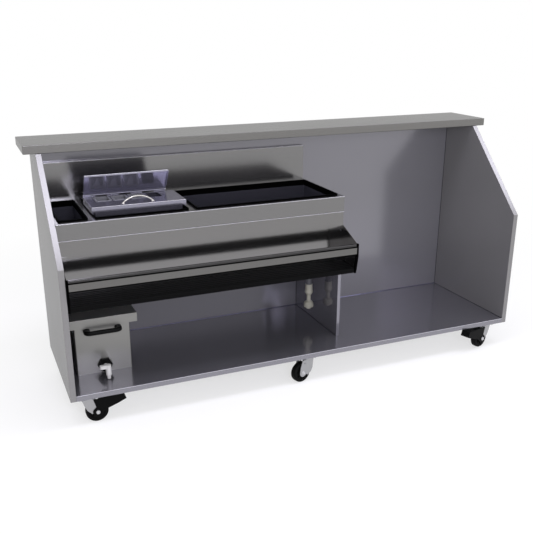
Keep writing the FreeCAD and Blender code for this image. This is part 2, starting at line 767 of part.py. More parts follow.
def build_underbar():
    keep("underbar_deck", underbar_deck())
    keep("backsplash", backsplash())
    keep("bin_casing", bin_casing())
    for name, (x0, x1) in BIN_SPANS.items():
        keep(f"{name}_bin_rim", rim(x0, x1))
        tub = liner(x0, x1)
        if name == "right":
            drain = rod(DRAIN_BORE_R, V(DRAIN_X, DRAIN_Y, LINER_Z - 5), V(0, 0, 1), 20)
            tub = tub.cut(drain)
        keep(f"{name}_bin_liner", tub)


# ---------------------------------------------------------------- speed rail
def rail_tray():
    """Bent sheet: back wall, bottle shelf and a turned-down nose."""
    path = [
        (RAIL_FRONT_Y, RAIL_Z - RAIL_NOSE_H),
        (RAIL_FRONT_Y, RAIL_Z),
        (RAIL_WALL_Y, RAIL_Z),
        (RAIL_WALL_Y, RAIL_TOP_Z),
    ]
    x0 = RAIL_X0 + SHEET
    x1 = RAIL_X1 - SHEET
    return bent_sheet([(y, z) for y, z in reversed(path)], SHEET, BEND_R, x0, x1)


def rail_floor_liner():
    """Black liner over the shelf and its nose, with low ribs along its length."""
    t = RAIL_LINER_T
    z = RAIL_Z + t
    path = [
        (RAIL_FRONT_Y - t, RAIL_Z - RAIL_NOSE_H),
        (RAIL_FRONT_Y - t, z),
        (RAIL_WALL_Y - 2 * SHEET, z),
    ]
    x0, x1 = rail_front_x()
    sheet = bent_sheet([(y, h) for y, h in reversed(path)], t - 0.1, BEND_R + SHEET + 0.2, x0, x1)
    ribs = []
    count = 5
    first = RAIL_FRONT_Y + 18
    pitch = (RAIL_WALL_Y - 20 - first) / (count - 1)
    for i in range(count):
        y = first + i * pitch
        section = [(y - 2.5, z - 0.2), (y + 2.5, z - 0.2), (y + 1.2, z + 1.5), (y - 1.2, z + 1.5)]
        ribs.append(prism_x(section, x0, x1))
    return sheet.fuse(ribs).removeSplitter()


def rail_front_x():
    """The front pieces run between the two end trims."""
    inset = (TRIM_W + SHEET) / 2
    return RAIL_X0 + inset, RAIL_X1 - inset


def rail_front_channel():
    x0, x1 = rail_front_x()
    path = [
        (CHANNEL_FRONT_Y + CHANNEL_DEPTH, CHANNEL_Z0),
        (CHANNEL_FRONT_Y, CHANNEL_Z0),
        (CHANNEL_FRONT_Y, CHANNEL_Z1),
        (CHANNEL_FRONT_Y + CHANNEL_DEPTH, CHANNEL_Z1),
    ]
    return bent_sheet([(y, z) for y, z in reversed(path)], SHEET, BEND_R, x0, x1)


def bumper_span():
    z0 = CHANNEL_Z0 + SHEET
    return z0, z0 + BUMPER_H


def rail_bumper():
    """Black strip on the channel's face, grooved for the steel band."""
    x0, x1 = rail_front_x()
    z0, z1 = bumper_span()
    y0 = CHANNEL_FRONT_Y - BUMPER_T
    groove_y = y0 + BAND_T + 0.6
    outline = [
        (CHANNEL_FRONT_Y, z0),
        (CHANNEL_FRONT_Y, z1),
        (y0 + 1, z1),
        (y0, z1 - 1),
        (y0, z1 - BUMPER_LIP),
        (groove_y, z1 - BUMPER_LIP),
        (groove_y, z0 + BUMPER_LIP),
        (y0, z0 + BUMPER_LIP),
        (y0, z0 + 1),
        (y0 + 1, z0),
    ]
    return prism_x(outline, x0, x1)


def rail_band():
    x0, x1 = rail_front_x()
    z0, z1 = bumper_span()
    y1 = CHANNEL_FRONT_Y - BUMPER_T + BAND_T + 0.6
    inset = BUMPER_LIP + 0.1
    return block(x0, x1, y1 - BAND_T, y1, z0 + inset, z1 - inset)


def rail_end_outline():
    """Side outline of a rail end plate, clockwise from its high back corner."""
    return [
        (RAIL_WALL_Y, BASE_Z + RAIL_END_BACK_H),
        (CHANNEL_FRONT_Y, CHANNEL_Z1),
        (CHANNEL_FRONT_Y - BUMPER_T + TRIM_COVER, CHANNEL_Z0 - 8),
        (RAIL_FRONT_Y - 1, RAIL_Z - RAIL_NOSE_H),
        (RAIL_WALL_Y, RAIL_Z - RAIL_NOSE_H),
    ]


def rail_end(x0, tab_way):
    plate = prism_x(rail_end_outline(), x0, x0 + SHEET)
    wall_y = RAIL_WALL_Y - SHEET
    z0 = RAIL_Z + RAIL_LINER_T + SEAT_GAP
    z1 = BASE_Z + RAIL_END_BACK_H - SHEET
    tab_x = x0 + SHEET if tab_way > 0 else x0 - TAB_W
    tab = block(tab_x, tab_x + TAB_W, wall_y, RAIL_WALL_Y, z0, z1)
    plate = plate.fuse(tab).removeSplitter()
    for point, direction in screw_places(x0, tab_way):
        start = point - direction * SCREW_LENGTH
        plate = plate.cut(rod(SCREW_R + SEAT_GAP, start, direction, 2 * SCREW_LENGTH))
    return plate


def screw_places(x0, tab_way):
    """Screw seat on the tab, where the end plate is fixed to the back wall."""
    tab_x = x0 + SHEET + TAB_W / 2 if tab_way > 0 else x0 - TAB_W / 2
    high = BASE_Z + RAIL_END_BACK_H - SCREW_BELOW_TOP
    low = RAIL_Z + SCREW_ABOVE_FLOOR
    return [(V(tab_x, RAIL_WALL_Y - SHEET, z), V(0, 1, 0)) for z in (low, high)]


def end_trim(x_mid):
    """Black edge trim that grips the front edge of an end plate."""
    top, knee, toe = rail_end_outline()[1:4]
    outer = [(y - TRIM_COVER, z) for y, z in (top, knee, toe)]
    inner = [(y + TRIM_GRIP, z) for y, z in (top, knee, toe)]
    outer[0] = (outer[0][0], top[1] + TRIM_COVER)
    inner[0] = (inner[0][0], top[1] + TRIM_COVER)
    outer[2] = (outer[2][0], toe[1] - TRIM_COVER)
    inner[2] = (inner[2][0], toe[1] - TRIM_COVER)
    strip = prism_x(outer + inner[::-1], x_mid - TRIM_W / 2, x_mid + TRIM_W / 2)
    slot = prism_x(rail_end_outline(), x_mid - SHEET / 2, x_mid + SHEET / 2)
    nose_y = RAIL_FRONT_Y - SEAT_GAP
    nose_z = RAIL_Z - RAIL_NOSE_H - TRIM_W
    nose_room = block(RAIL_X0 + SHEET, RAIL_X1 - SHEET, nose_y, nose_y + 40, nose_z, RAIL_Z + SEAT_GAP)
    return strip.cut(slot).cut(nose_room)


def build_speed_rail():
    keep("rail_tray", rail_tray_with_holes())
    keep("rail_floor_liner", rail_floor_liner())
    keep("rail_front_channel", rail_front_channel())
    keep("rail_bumper", rail_bumper())
    keep("rail_band", rail_band())
    left_x = RAIL_X0
    right_x = RAIL_X1 - SHEET
    keep("left_rail_end", rail_end(left_x, 1))
    keep("right_rail_end", rail_end(right_x, -1))
    keep("rail_end_trims", end_trim(left_x + SHEET / 2), end_trim(right_x + SHEET / 2))
    screws = []
    for x0, way in ((left_x, 1), (right_x, -1)):
        for point, direction in screw_places(x0, way):
            shank = rod(SCREW_R, point, direction, SCREW_LENGTH)
            head = rod(SCREW_HEAD_R, point - direction * SCREW_HEAD_T, direction, SCREW_HEAD_T)
            screws.append(shank.fuse(head).removeSplitter())
    keep("rail_screws", *screws)


def rail_tray_with_holes():
    tray = rail_tray()
    for x0, way in ((RAIL_X0, 1), (RAIL_X1 - SHEET, -1)):
        for point, direction in screw_places(x0, way):
            tray = tray.cut(rod(SCREW_R + SEAT_GAP, point, direction, SCREW_LENGTH))
    return tray


# ---------------------------------------------------------------- drain
def build_drain():
    centre = V(DRAIN_X, DRAIN_Y, 0)
    floor_z = LINER_Z + LINER_T
    r = DRAIN_BORE_R - SEAT_GAP
    strainer = turned(
        [
            (0, floor_z),
            (STRAINER_R, floor_z),
            (STRAINER_R, floor_z + STRAINER_T * 0.5),
            (r, floor_z + STRAINER_T),
            (0, floor_z + STRAINER_T),
        ],
        centre,
    )
    for i in range(STRAINER_HOLES):
        angle = math.tau * i / STRAINER_HOLES
        ring = V(math.cos(angle), math.sin(angle), 0) * STRAINER_RING_R
        point = centre + ring + V(0, 0, floor_z - 1)
        strainer = strainer.cut(rod(STRAINER_HOLE_R, point, V(0, 0, 1), STRAINER_T + 2))
    keep("drain_strainer", strainer)

    pipe_z = BASE_Z + DRAIN_PIPE_END_H
    pipe_top = LINER_Z
    pipe = rod(DRAIN_PIPE_R, centre + V(0, 0, pipe_z), V(0, 0, 1), pipe_top - pipe_z)
    pipe = pipe.cut(rod(DRAIN_BORE_R, centre + V(0, 0, pipe_z - 1), V(0, 0, 1), pipe_top - pipe_z + 2))
    keep("drain_pipe", pipe)

    top_z = pipe_z + ADAPTOR_SOCKET
    low_z = BASE_Z + ADAPTOR_BOTTOM_H
    spout_z = low_z - SPOUT_LENGTH
    neck_bore = SPOUT_BORE_R - 2
    adaptor = turned(
        [
            (DRAIN_PIPE_R + SHAFT_GAP, top_z),
            (ADAPTOR_TOP_R, top_z),
            (ADAPTOR_TOP_R, pipe_z - 12),
            (ADAPTOR_TOP_R + 2, pipe_z - 18),
            (ADAPTOR_TOP_R + 2, pipe_z - 28),
            (ADAPTOR_NECK_R, pipe_z - 44),
            (ADAPTOR_NECK_R, low_z + 14),
            (ADAPTOR_FLARE_R, low_z + 6),
            (ADAPTOR_FLARE_R, low_z),
            (SPOUT_R, low_z),
            (SPOUT_R, spout_z),
            (SPOUT_BORE_R, spout_z),
            (neck_bore, low_z),
            (neck_bore, pipe_z - 40),
            (DRAIN_BORE_R, pipe_z - 26),
            (DRAIN_BORE_R, pipe_z - SEAT_GAP),
            (DRAIN_PIPE_R + SHAFT_GAP, pipe_z - SEAT_GAP),
        ],
        centre,
    )
    keep("drain_adaptor", adaptor)
    keep("drain_collar", drain_collar(centre, low_z - SEAT_GAP))


def drain_collar(centre, top_z):
    """Turning collar of the drain, with a groove round its waist."""
    half = COLLAR_H / 2
    inner = SPOUT_R + SHAFT_GAP
    return turned(
        [
            (inner, top_z),
            (COLLAR_R - 1, top_z),
            (COLLAR_R, top_z - 1),
            (COLLAR_R, top_z - half + 1),
            (COLLAR_R - COLLAR_GROOVE, top_z - half),
            (COLLAR_R, top_z - half - 1),
            (COLLAR_R, top_z - COLLAR_H + 1),
            (COLLAR_R - 1, top_z - COLLAR_H),
            (inner, top_z - COLLAR_H),
        ],
        centre,
    )


# ---------------------------------------------------------------- condiment tray
def pan_spans():
    """Rim edges of the four pan places, from left to right."""
    first = TRAY_X0 + PAN_FIRST_X
    return [(first + i * PAN_PITCH, first + i * PAN_PITCH + PAN_W) for i in range(PAN_COUNT)]


def pan_y():
    y1 = TRAY_BACK_Y - PAN_BACK_MARGIN
    return y1 - PAN_LENGTH, y1


def knuckle_spans(for_lid):
    """X ranges of the hinge knuckles: odd places belong to the lid, even ones to the tray."""
    pitch = LID_WIDTH / KNUCKLES
    spans = []
    for i in range(KNUCKLES):
        if (i % 2 == 1) == for_lid:
            x0 = LID_X0 + i * pitch
            spans.append((x0 + KNUCKLE_GAP / 2, x0 + pitch - KNUCKLE_GAP / 2))
    return spans


def knuckle(x0, x1, bore_r):
    barrel = rod(HINGE_R, V(x0, HINGE_Y, HINGE_Z), V(1, 0, 0), x1 - x0)
    return barrel.cut(rod(bore_r, V(x0 - 1, HINGE_Y, HINGE_Z), V(1, 0, 0), x1 - x0 + 2))


def tray_plate():
    """Top plate with turned-down skirts, feet on the rim, pan holes and hinge knuckles."""
    y0 = TRAY_FRONT_Y
    y1 = TRAY_BACK_Y
    z0 = TRAY_FOOT_Z
    outer = block(TRAY_X0, TRAY_X1, y0, y1, z0, TRAY_TOP_Z)
    top_edges = [e for e in outer.Edges if e.BoundBox.ZMin > TRAY_TOP_Z - 0.01]
    outer = outer.makeFillet(EDGE_R, top_edges)
    t = TRAY_T
    foot = TRAY_FOOT
    room = block(TRAY_X0 + t, TRAY_X1 - t, y0 + t, y1 - t, z0 + t, TRAY_UNDER_Z)
    mouth = block(TRAY_X0 + foot, TRAY_X1 - foot, y0 + t, y1 - t, z0 - 1, z0 + t + 1)
    plate = outer.cut(room).cut(mouth)
    pan_y0, pan_y1 = pan_y()
    for x0, x1 in pan_spans():
        r = PAN_CORNER_R - 2
        a = x0 + PAN_RIM
        b = x1 - PAN_RIM
        hole = rounded_block(a, b, pan_y0 + PAN_RIM, pan_y1 - PAN_RIM, TRAY_UNDER_Z - 1, TRAY_TOP_Z + 1, r)
        plate = plate.cut(hole)
    web_y1 = HINGE_Y + HINGE_R
    web_y0 = web_y1 - t
    for x0, x1 in knuckle_spans(False):
        web = block(x0, x1, web_y0, web_y1, TRAY_UNDER_Z, HINGE_Z)
        shelf = block(x0, x1, y1 - EDGE_R - 1, web_y0, TRAY_UNDER_Z, TRAY_UNDER_Z + t)
        plate = plate.fuse([web, shelf, knuckle(x0, x1, HINGE_PIN_R)])
    return plate.removeSplitter()


def tray_glides():
    """Two runners under the plate's feet, on the rims of the middle opening."""
    glides = []
    for x0 in (TRAY_X0 + 0.5, TRAY_X1 - 0.5 - GLIDE_W):
        y1 = TRAY_BACK_Y - 2
        glides.append(block(x0, x0 + GLIDE_W, TRAY_FRONT_Y + 2, y1, RIM_TOP_Z, TRAY_FOOT_Z))
    return glides


def tray_well():
    """Locating frame under the plate that drops inside the opening's rim."""
    x0, x1 = BIN_SPANS["middle"]
    a = x0 + RIM_W + SLIDE_GAP
    b = x1 - RIM_W - SLIDE_GAP
    y0 = TRAY_FRONT_Y + TRAY_T + WELL_FRONT_GAP
    y1 = TRAY_BACK_Y - TRAY_T - WELL_FRONT_GAP
    z0 = RIM_TOP_Z - WELL_DROP
    outer = rounded_block(a, b, y0, y1, z0, TRAY_UNDER_Z, RIM_CORNER_R)
    t = TRAY_T
    return outer.cut(rounded_block(a + t, b - t, y0 + t, y1 - t, z0 - 1, TRAY_UNDER_Z + 1, RIM_CORNER_R - t))


def pan(x0, x1):
    """Tapered insert pan with a flat rim that rests on the tray plate."""
    y0, y1 = pan_y()
    z1 = TRAY_TOP_Z + PAN_RIM_T
    z0 = z1 - PAN_DEPTH
    inset = PAN_RIM + PAN_CLEARANCE

    def section(z, extra, r):
        shape = rounded_block(x0 + extra, x1 - extra, y0 + extra, y1 - extra, z, z + 1, r)
        bottom = [f for f in shape.Faces if f.BoundBox.ZMax < z + 0.01]
        return bottom[0].OuterWire

    def cone(extra_top, extra_bottom, top, bottom, r):
        return Part.makeLoft([section(bottom, extra_bottom, r), section(top, extra_top, r)], True, True)

    r = PAN_CORNER_R - 2
    body = cone(inset, inset + PAN_TAPER, TRAY_TOP_Z + 0.01, z0, r)
    rim_plate = rounded_block(x0, x1, y0, y1, TRAY_TOP_Z, z1, PAN_CORNER_R)
    rim_plate = softened(rim_plate, 0.8, lambda e: e.BoundBox.ZMin > z1 - 0.01)
    wall = PAN_WALL
    share = PAN_TAPER / (TRAY_TOP_Z - z0)
    top_extra = inset + wall - share * (PAN_RIM_T + 1)
    inside = cone(top_extra, inset + PAN_TAPER + wall, z1 + 1, z0 + wall, r - wall)
    return body.fuse(rim_plate).cut(inside).removeSplitter()


def tray_lid():
    """Lid leaf with three turned-down flanges, swung open about the hinge pin."""
    x0 = LID_X0
    x1 = LID_X0 + LID_WIDTH
    top_z = HINGE_Z + HINGE_R
    y0 = HINGE_Y - LID_LENGTH
    clear_y = HINGE_Y - HINGE_R - 1.0
    z0 = top_z - LID_FLANGE
    outer = block(x0, x1, y0, clear_y, z0, top_z)
    outer = softened(outer, 1.0, lambda e: e.BoundBox.ZMin > top_z - 0.01 and e.BoundBox.YMax < y0 + 0.01)
    t = LID_T
    lid = outer.cut(block(x0 + t, x1 - t, y0 + t, clear_y + 1, z0 - 1, top_z - t))
    toe = block(x0 - 1, x1 + 1, clear_y - LID_FLANGE, clear_y + 1, z0 - 1, z0 + 0.6 * LID_FLANGE)
    lid = lid.cut(toe)
    for a, b in knuckle_spans(True):
        leaf = block(a, b, clear_y - 1, HINGE_Y, top_z - t, top_z)
        lid = lid.fuse([leaf, knuckle(a, b, HINGE_PIN_R + SHAFT_GAP)])
    lid = lid.cut(rod(HINGE_PIN_R + SHAFT_GAP, V(x0 - 1, HINGE_Y, HINGE_Z), V(1, 0, 0), LID_WIDTH + 2))
    lid = lid.removeSplitter()
    lid.rotate(V(0, HINGE_Y, HINGE_Z), V(-1, 0, 0), LID_OPEN_DEG)
    return lid


def tray_handle():
    """Bow handle: a round wire bent to an arc, cut off flat on the tray plate."""
    half = HANDLE_SPAN / 2
    rise = HANDLE_RISE - HANDLE_WIRE_R
    arc_r = (half * half + rise * rise) / (2 * rise)
    y = TRAY_FRONT_Y + HANDLE_INSET
    centre = V(TRAY_MID_X, y, TRAY_TOP_Z + rise - arc_r)
    sweep = 2 * math.degrees(math.asin(half / arc_r)) + 10
    start = math.radians(90 - sweep / 2)
    ring_point = centre + V(arc_r * math.cos(start), 0, arc_r * math.sin(start))
    tangent = V(-math.sin(start), 0, math.cos(start))
    circle = Part.Face(Part.Wire(Part.makeCircle(HANDLE_WIRE_R, ring_point, tangent)))
    bow = circle.revolve(centre, V(0, -1, 0), sweep)
    above = block(TRAY_X0, TRAY_X1, y - 20, y + 20, TRAY_TOP_Z, TRAY_TOP_Z + HANDLE_RISE + 20)
    return bow.common(above)


def build_tray():
    keep("tray_plate", tray_plate())
    keep("tray_well", tray_well(), *tray_glides())
    for i, (x0, x1) in enumerate(pan_spans()[:3], start=1):
        keep(f"condiment_pan_{i}", pan(x0, x1))
    keep("tray_lid", tray_lid())
    pin_x0 = LID_X0 - 1
    pin = rod(HINGE_PIN_R, V(pin_x0, HINGE_Y, HINGE_Z), V(1, 0, 0), LID_WIDTH + 2)
    head = rod(HINGE_PIN_R + 1.2, V(pin_x0 + LID_WIDTH + 2, HINGE_Y, HINGE_Z), V(1, 0, 0), 2)
    keep("lid_hinge_pin", pin.fuse(head).removeSplitter())
    keep("tray_handle", tray_handle())


# ---------------------------------------------------------------- waste water tank
def tank_body():
    y0 = TANK_FRONT_Y
    y1 = y0 + TANK_DEPTH
    t = TANK_T
    z1 = TANK_TOP_Z - t
    outer = rounded_block(TANK_X0, TANK_X1, y0, y1, DECK_TOP_Z, z1, 4)
    inner = rounded_block(TANK_X0 + t, TANK_X1 - t, y0 + t, y1 - t, DECK_TOP_Z + t, z1 + 1, 4 - t)
    hole = rod(SPIGOT_R + SEAT_GAP, V(SPIGOT_X, y0 - 1, SPIGOT_Z), V(0, 1, 0), t + 2)
    return outer.cut(inner).cut(hole)


def tank_lid():
    """Lift-off lid with a deep skirt all round."""
    x0 = TANK_LID_X
    x1 = x0 + TANK_LID_W
    y0 = TANK_FRONT_Y - TANK_LID_FRONT
    y1 = TANK_FRONT_Y + TANK_DEPTH + TANK_LID_FRONT
    t = TANK_T
    z0 = TANK_TOP_Z - TANK_LID_SKIRT
    outer = block(x0, x1, y0, y1, z0, TANK_TOP_Z)
    outer = outer.makeFillet(EDGE_R, [e for e in outer.Edges if e.BoundBox.ZMax > z0 + 1])
    return outer.cut(block(x0 + t, x1 - t, y0 + t, y1 - t, z0 - 1, TANK_TOP_Z - t))


def tank_handle():
    """Pull handle: a round bar with two bends and a round pad at each end."""
    x_mid = (TANK_X0 + TANK_X1) / 2
    z = DECK_TOP_Z + GRIP_H
    half = GRIP_SPAN / 2
    r = GRIP_BEND_R
    y_face = TANK_FRONT_Y
    y_bar = y_face - GRIP_STANDOFF
    s = r * (1 - math.sqrt(0.5))
    left = x_mid - half
    right = x_mid + half
    edges = [
        Part.makeLine(V(left, y_face, z), V(left, y_bar + r, z)),
        Part.Arc(V(left, y_bar + r, z), V(left + s, y_bar + s, z), V(left + r, y_bar, z)).toShape(),
        Part.makeLine(V(left + r, y_bar, z), V(right - r, y_bar, z)),
        Part.Arc(V(right - r, y_bar, z), V(right - s, y_bar + s, z), V(right, y_bar + r, z)).toShape(),
        Part.makeLine(V(right, y_bar + r, z), V(right, y_face, z)),
    ]
    path = Part.Wire(edges)
    section = Part.Wire(Part.makeCircle(GRIP_R, V(left, y_face, z), V(0, 1, 0)))
    bar = path.makePipeShell([section], True, False)
    pads = [rod(GRIP_R + 4, V(x, y_face, z), V(0, -1, 0), 4) for x in (left, right)]
    return bar.fuse(pads).removeSplitter()


def hex_nut():
    """Bulkhead nut on the tank's face, bored for the spigot's barrel."""
    corner = NUT_FLATS / math.sqrt(3)
    y1 = TANK_FRONT_Y
    points = []
    for i in range(7):
        angle = math.radians(60 * i)
        points.append(V(SPIGOT_X + corner * math.cos(angle), y1, SPIGOT_Z + corner * math.sin(angle)))
    nut = Part.Face(Part.makePolygon(points)).extrude(V(0, -NUT_T, 0))
    face_y = y1 - NUT_T
    cone = Part.makeCone(corner + 8, corner - 4, NUT_T, V(SPIGOT_X, y1, SPIGOT_Z), V(0, -1, 0))
    nut = nut.common(cone)
    return nut.cut(rod(SPIGOT_R + SHAFT_GAP, V(SPIGOT_X, face_y - 1, SPIGOT_Z), V(0, 1, 0), NUT_T + 2))


def spigot_body():
    """Barrel through the tank wall, flanged inside, with an upright valve body and nozzle."""
    y_in = TANK_FRONT_Y + TANK_T
    axis = V(SPIGOT_X, 0, SPIGOT_Z)
    inside_wall = VALVE_Y + VALVE_R / 2 + 0.5
    barrel = rod(SPIGOT_R, axis + V(0, y_in, 0), V(0, -1, 0), y_in - inside_wall)
    flange = rod(SPIGOT_R + 6, axis + V(0, y_in, 0), V(0, 1, 0), 4)
    top = DECK_TOP_Z + VALVE_TOP_H
    tip = DECK_TOP_Z + NOZZLE_TIP_H
    taper_z = SPIGOT_Z - VALVE_R
    stem_z = top - LEVER_STEM_DEPTH
    valve = turned(
        [
            (LEVER_STEM_R + SHAFT_GAP, top),
            (VALVE_R - 1, top),
            (VALVE_R, top - 1),
            (VALVE_R, taper_z),
            (NOZZLE_TIP_R + 0.5, tip + 8),
            (NOZZLE_TIP_R, tip),
            (NOZZLE_BORE_R, tip),
            (NOZZLE_BORE_R, SPIGOT_Z - 4),
            (0, SPIGOT_Z - 4),
            (0, stem_z),
            (LEVER_STEM_R + SHAFT_GAP, stem_z),
        ],
        V(SPIGOT_X, VALVE_Y, 0),
    )
    return barrel.fuse([flange, valve]).removeSplitter()


def spigot_lever():
    """Turning lever on the valve: a stem, a round cap and an arm to the left."""
    z0 = DECK_TOP_Z + VALVE_TOP_H + SEAT_GAP
    z1 = z0 + LEVER_H
    stem_z = DECK_TOP_Z + VALVE_TOP_H - LEVER_STEM_DEPTH + SEAT_GAP
    centre = V(SPIGOT_X, VALVE_Y, 0)
    cap = rod(VALVE_R, centre + V(0, 0, z0), V(0, 0, 1), LEVER_H)
    half = LEVER_W / 2
    x0 = SPIGOT_X - LEVER_L
    arm = block(x0, SPIGOT_X, VALVE_Y - half, VALVE_Y + half, z0, z1)
    arm = softened(arm, half - 0.5, lambda e: e.BoundBox.XMax < x0 + 0.01 and e.BoundBox.ZLength > 1)
    body = cap.fuse(arm).removeSplitter()
    body = softened(body, 2.5, lambda e: e.BoundBox.ZMin > z1 - 0.01)
    stem = rod(LEVER_STEM_R, centre + V(0, 0, stem_z), V(0, 0, 1), z0 - stem_z)
    return body.fuse(stem).removeSplitter()


def build_tank():
    keep("tank_body", tank_body())
    keep("tank_lid", tank_lid())
    keep("tank_handle", tank_handle())
    keep("spigot_nut", hex_nut())
    keep("spigot_barrel", spigot_body())
    keep("spigot_tap", spigot_lever())


# ---------------------------------------------------------------- build and write
def to_part_frame():
    """Shift that puts the origin on the floor, under the middle of the overall box."""
    box = FreeCAD.BoundBox()
    for shape in NODES.values():
        box.add(shape.optimalBoundingBox(True))
    return V(-box.Center.x, -box.Center.y, -box.ZMin)


def main():
    build_carcass()
    build_casters()
    build_underbar()
    build_speed_rail()
    build_drain()
    build_tray()
    build_tank()
    os.makedirs("parts", exist_ok=True)
    shift = to_part_frame()
    for name, shape in NODES.items():
        shape.translate(shift)
        if not shape.isValid():
            print("not valid:", name)
        shape.exportStep(f"parts/{name}.step")
    print("moved by", round(shift.x, 3), round(shift.y, 3), round(shift.z, 3))
    print(len(NODES), "nodes,", sum(len(s.Solids) for s in NODES.values()), "solids")


main()
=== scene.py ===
# %% [markdown]
# # A portable stainless-steel bar
# This lesson dresses a finished CAD model of a wheeled bar, seen from the bartender's side.
# The CAD solids give every size and place. Blender gives the steel, the plastics, the soft light
# and the small turned and moulded pieces that a plain solid doesn't show.

# %% Load the frame
import json
import math

import bmesh
import bpy
from mathutils import Matrix, Vector


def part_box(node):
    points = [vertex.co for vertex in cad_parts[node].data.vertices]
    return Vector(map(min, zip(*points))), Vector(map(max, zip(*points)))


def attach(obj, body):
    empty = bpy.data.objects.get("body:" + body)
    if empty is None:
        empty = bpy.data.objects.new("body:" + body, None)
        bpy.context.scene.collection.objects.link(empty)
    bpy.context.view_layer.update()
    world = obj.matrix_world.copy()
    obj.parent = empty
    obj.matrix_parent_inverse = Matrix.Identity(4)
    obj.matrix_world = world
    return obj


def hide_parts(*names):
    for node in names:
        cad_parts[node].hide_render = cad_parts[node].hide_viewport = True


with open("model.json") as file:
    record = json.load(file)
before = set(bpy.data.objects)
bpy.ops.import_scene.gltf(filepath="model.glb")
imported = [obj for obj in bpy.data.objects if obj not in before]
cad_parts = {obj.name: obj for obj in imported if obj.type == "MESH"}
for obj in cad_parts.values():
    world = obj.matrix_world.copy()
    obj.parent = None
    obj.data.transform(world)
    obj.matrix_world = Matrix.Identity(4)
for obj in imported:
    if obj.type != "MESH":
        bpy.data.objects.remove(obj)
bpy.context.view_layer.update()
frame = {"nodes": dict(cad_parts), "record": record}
nodes = frame["nodes"]

# %% [markdown]
# ## One drawing frame
# The bar was drawn in millimetres from the left end panel's lower front corner, standing on its
# casters. All the numbers below are in that drawing frame, and `at` turns them into scene metres.
# The panel's own box says where that corner is, so nothing has to be measured twice.

# %% Drawing frame
MM = 0.001
CASTER_H = 127.0
corner = Vector(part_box("left_end_panel")[0])
DRAWING_ORIGIN = Vector((corner.x, corner.y, corner.z - CASTER_H * MM))


def at(x, y, z):
    """A point of the drawing, in scene metres."""
    return DRAWING_ORIGIN + Vector((x, y, z)) * MM


print("drawing origin", [round(v, 4) for v in DRAWING_ORIGIN])

# %% [markdown]
# ## Camera
# The camera stands a little left of the bar's left end, at head height, and looks slightly down
# and to the right. A 50 mm lens on a 36 mm sensor gives the same perspective as the picture.
# The small shift keeps the picture's off-centre framing.

# %% Camera
camera_data = bpy.data.cameras.new("bartender_view")
camera_data.sensor_fit = "HORIZONTAL"
camera_data.sensor_width = 36.0
camera_data.lens = 50.0
camera_data.shift_x = 0.0020
camera_data.shift_y = 0.0366
camera = bpy.data.objects.new("bartender_view", camera_data)
camera.location = at(-331.6, -2936.0, 1684.4)
camera.rotation_euler = (math.radians(90 - 19.846), 0.0, math.radians(-22.951))
bpy.context.scene.collection.objects.link(camera)
bpy.context.scene.camera = camera
print("camera at", [round(v, 3) for v in camera.location])

# %% [markdown]
# ## Light
# Metal shows its surroundings more than its own colour. A plain white world gives the steel its
# pale grey, and a broad softbox overhead gives the near-white lines on edges that face up. A small
# warm lamp fills the left end, a long strip in front gives the sheets their soft sheen, and a lamp
# in front of the bar, left of its middle, points across at the open bay on the right.
# The rays that reach the camera, and those that mirror or pass through, see a clean white.
# The world gives scattered light at a lower strength, so that colours stay as they are written.

# %% World and softboxes
WORLD_DIFFUSE = 0.70
WORLD_SEEN = 1.0

world = bpy.data.worlds.new("studio")
bpy.context.scene.world = world
world.use_nodes = True
wt = world.node_tree
wt.nodes.clear()
w_out = wt.nodes.new("ShaderNodeOutputWorld")
w_bg = wt.nodes.new("ShaderNodeBackground")
w_path = wt.nodes.new("ShaderNodeLightPath")
w_seen = wt.nodes.new("ShaderNodeMath")
w_seen.operation = "MAXIMUM"
w_any = wt.nodes.new("ShaderNodeMath")
w_any.operation = "MAXIMUM"
w_mix = wt.nodes.new("ShaderNodeMapRange")
w_mix.inputs["To Min"].default_value = WORLD_DIFFUSE
w_mix.inputs["To Max"].default_value = WORLD_SEEN
w_bg.inputs["Color"].default_value = (1.0, 1.0, 1.0, 1.0)
wt.links.new(w_path.outputs["Is Camera Ray"], w_seen.inputs[0])
wt.links.new(w_path.outputs["Is Glossy Ray"], w_seen.inputs[1])
wt.links.new(w_seen.outputs[0], w_any.inputs[0])
wt.links.new(w_path.outputs["Is Transmission Ray"], w_any.inputs[1])
wt.links.new(w_any.outputs[0], w_mix.inputs["Value"])
wt.links.new(w_mix.outputs["Result"], w_bg.inputs["Strength"])
wt.links.new(w_bg.outputs[0], w_out.inputs[0])


def softbox(name, where, target, width, depth, power, colour):
    """A rectangular area light that faces a point."""
    data = bpy.data.lights.new(name, "AREA")
    data.shape = "RECTANGLE"
    data.size = width
    data.size_y = depth
    data.energy = power
    data.color = colour
    lamp = bpy.data.objects.new(name, data)
    lamp.location = where
    lamp.rotation_euler = (Vector(target) - Vector(where)).to_track_quat("-Z", "Y").to_euler()
    bpy.context.scene.collection.objects.link(lamp)
    return lamp


LAVENDER_WHITE = (0.86, 0.85, 1.0)
WARM_WHITE = (1.0, 0.98, 0.93)
FAINT_LAVENDER = (0.95, 0.94, 1.0)
softbox("overhead", (0.6, -0.75, 3.4), (0.6, -0.2, 0.0), 6.4, 0.9, 82.0, LAVENDER_WHITE)
softbox("left_fill", (-3.8, -2.4, 1.6), (-0.6, 0.0, 0.6), 1.4, 1.4, 8.0, WARM_WHITE)
softbox("front_strip", (2.4, -5.6, 1.3), (1.0, 0.0, 0.8), 10.0, 1.1, 56.0, FAINT_LAVENDER)
softbox("inner_fill", (-0.9, -3.9, 2.1), (2.2, 0.4, 0.5), 1.0, 1.0, 62.0, LAVENDER_WHITE)

# %% [markdown]
# ## Floor
# The bar stands on a plain pale floor. It is one large sheet. It is nearly white, so it meets the
# white world without a hard line, and it still takes the bar's soft shadow.

# %% Floor
FLOOR_HALF = 14.0
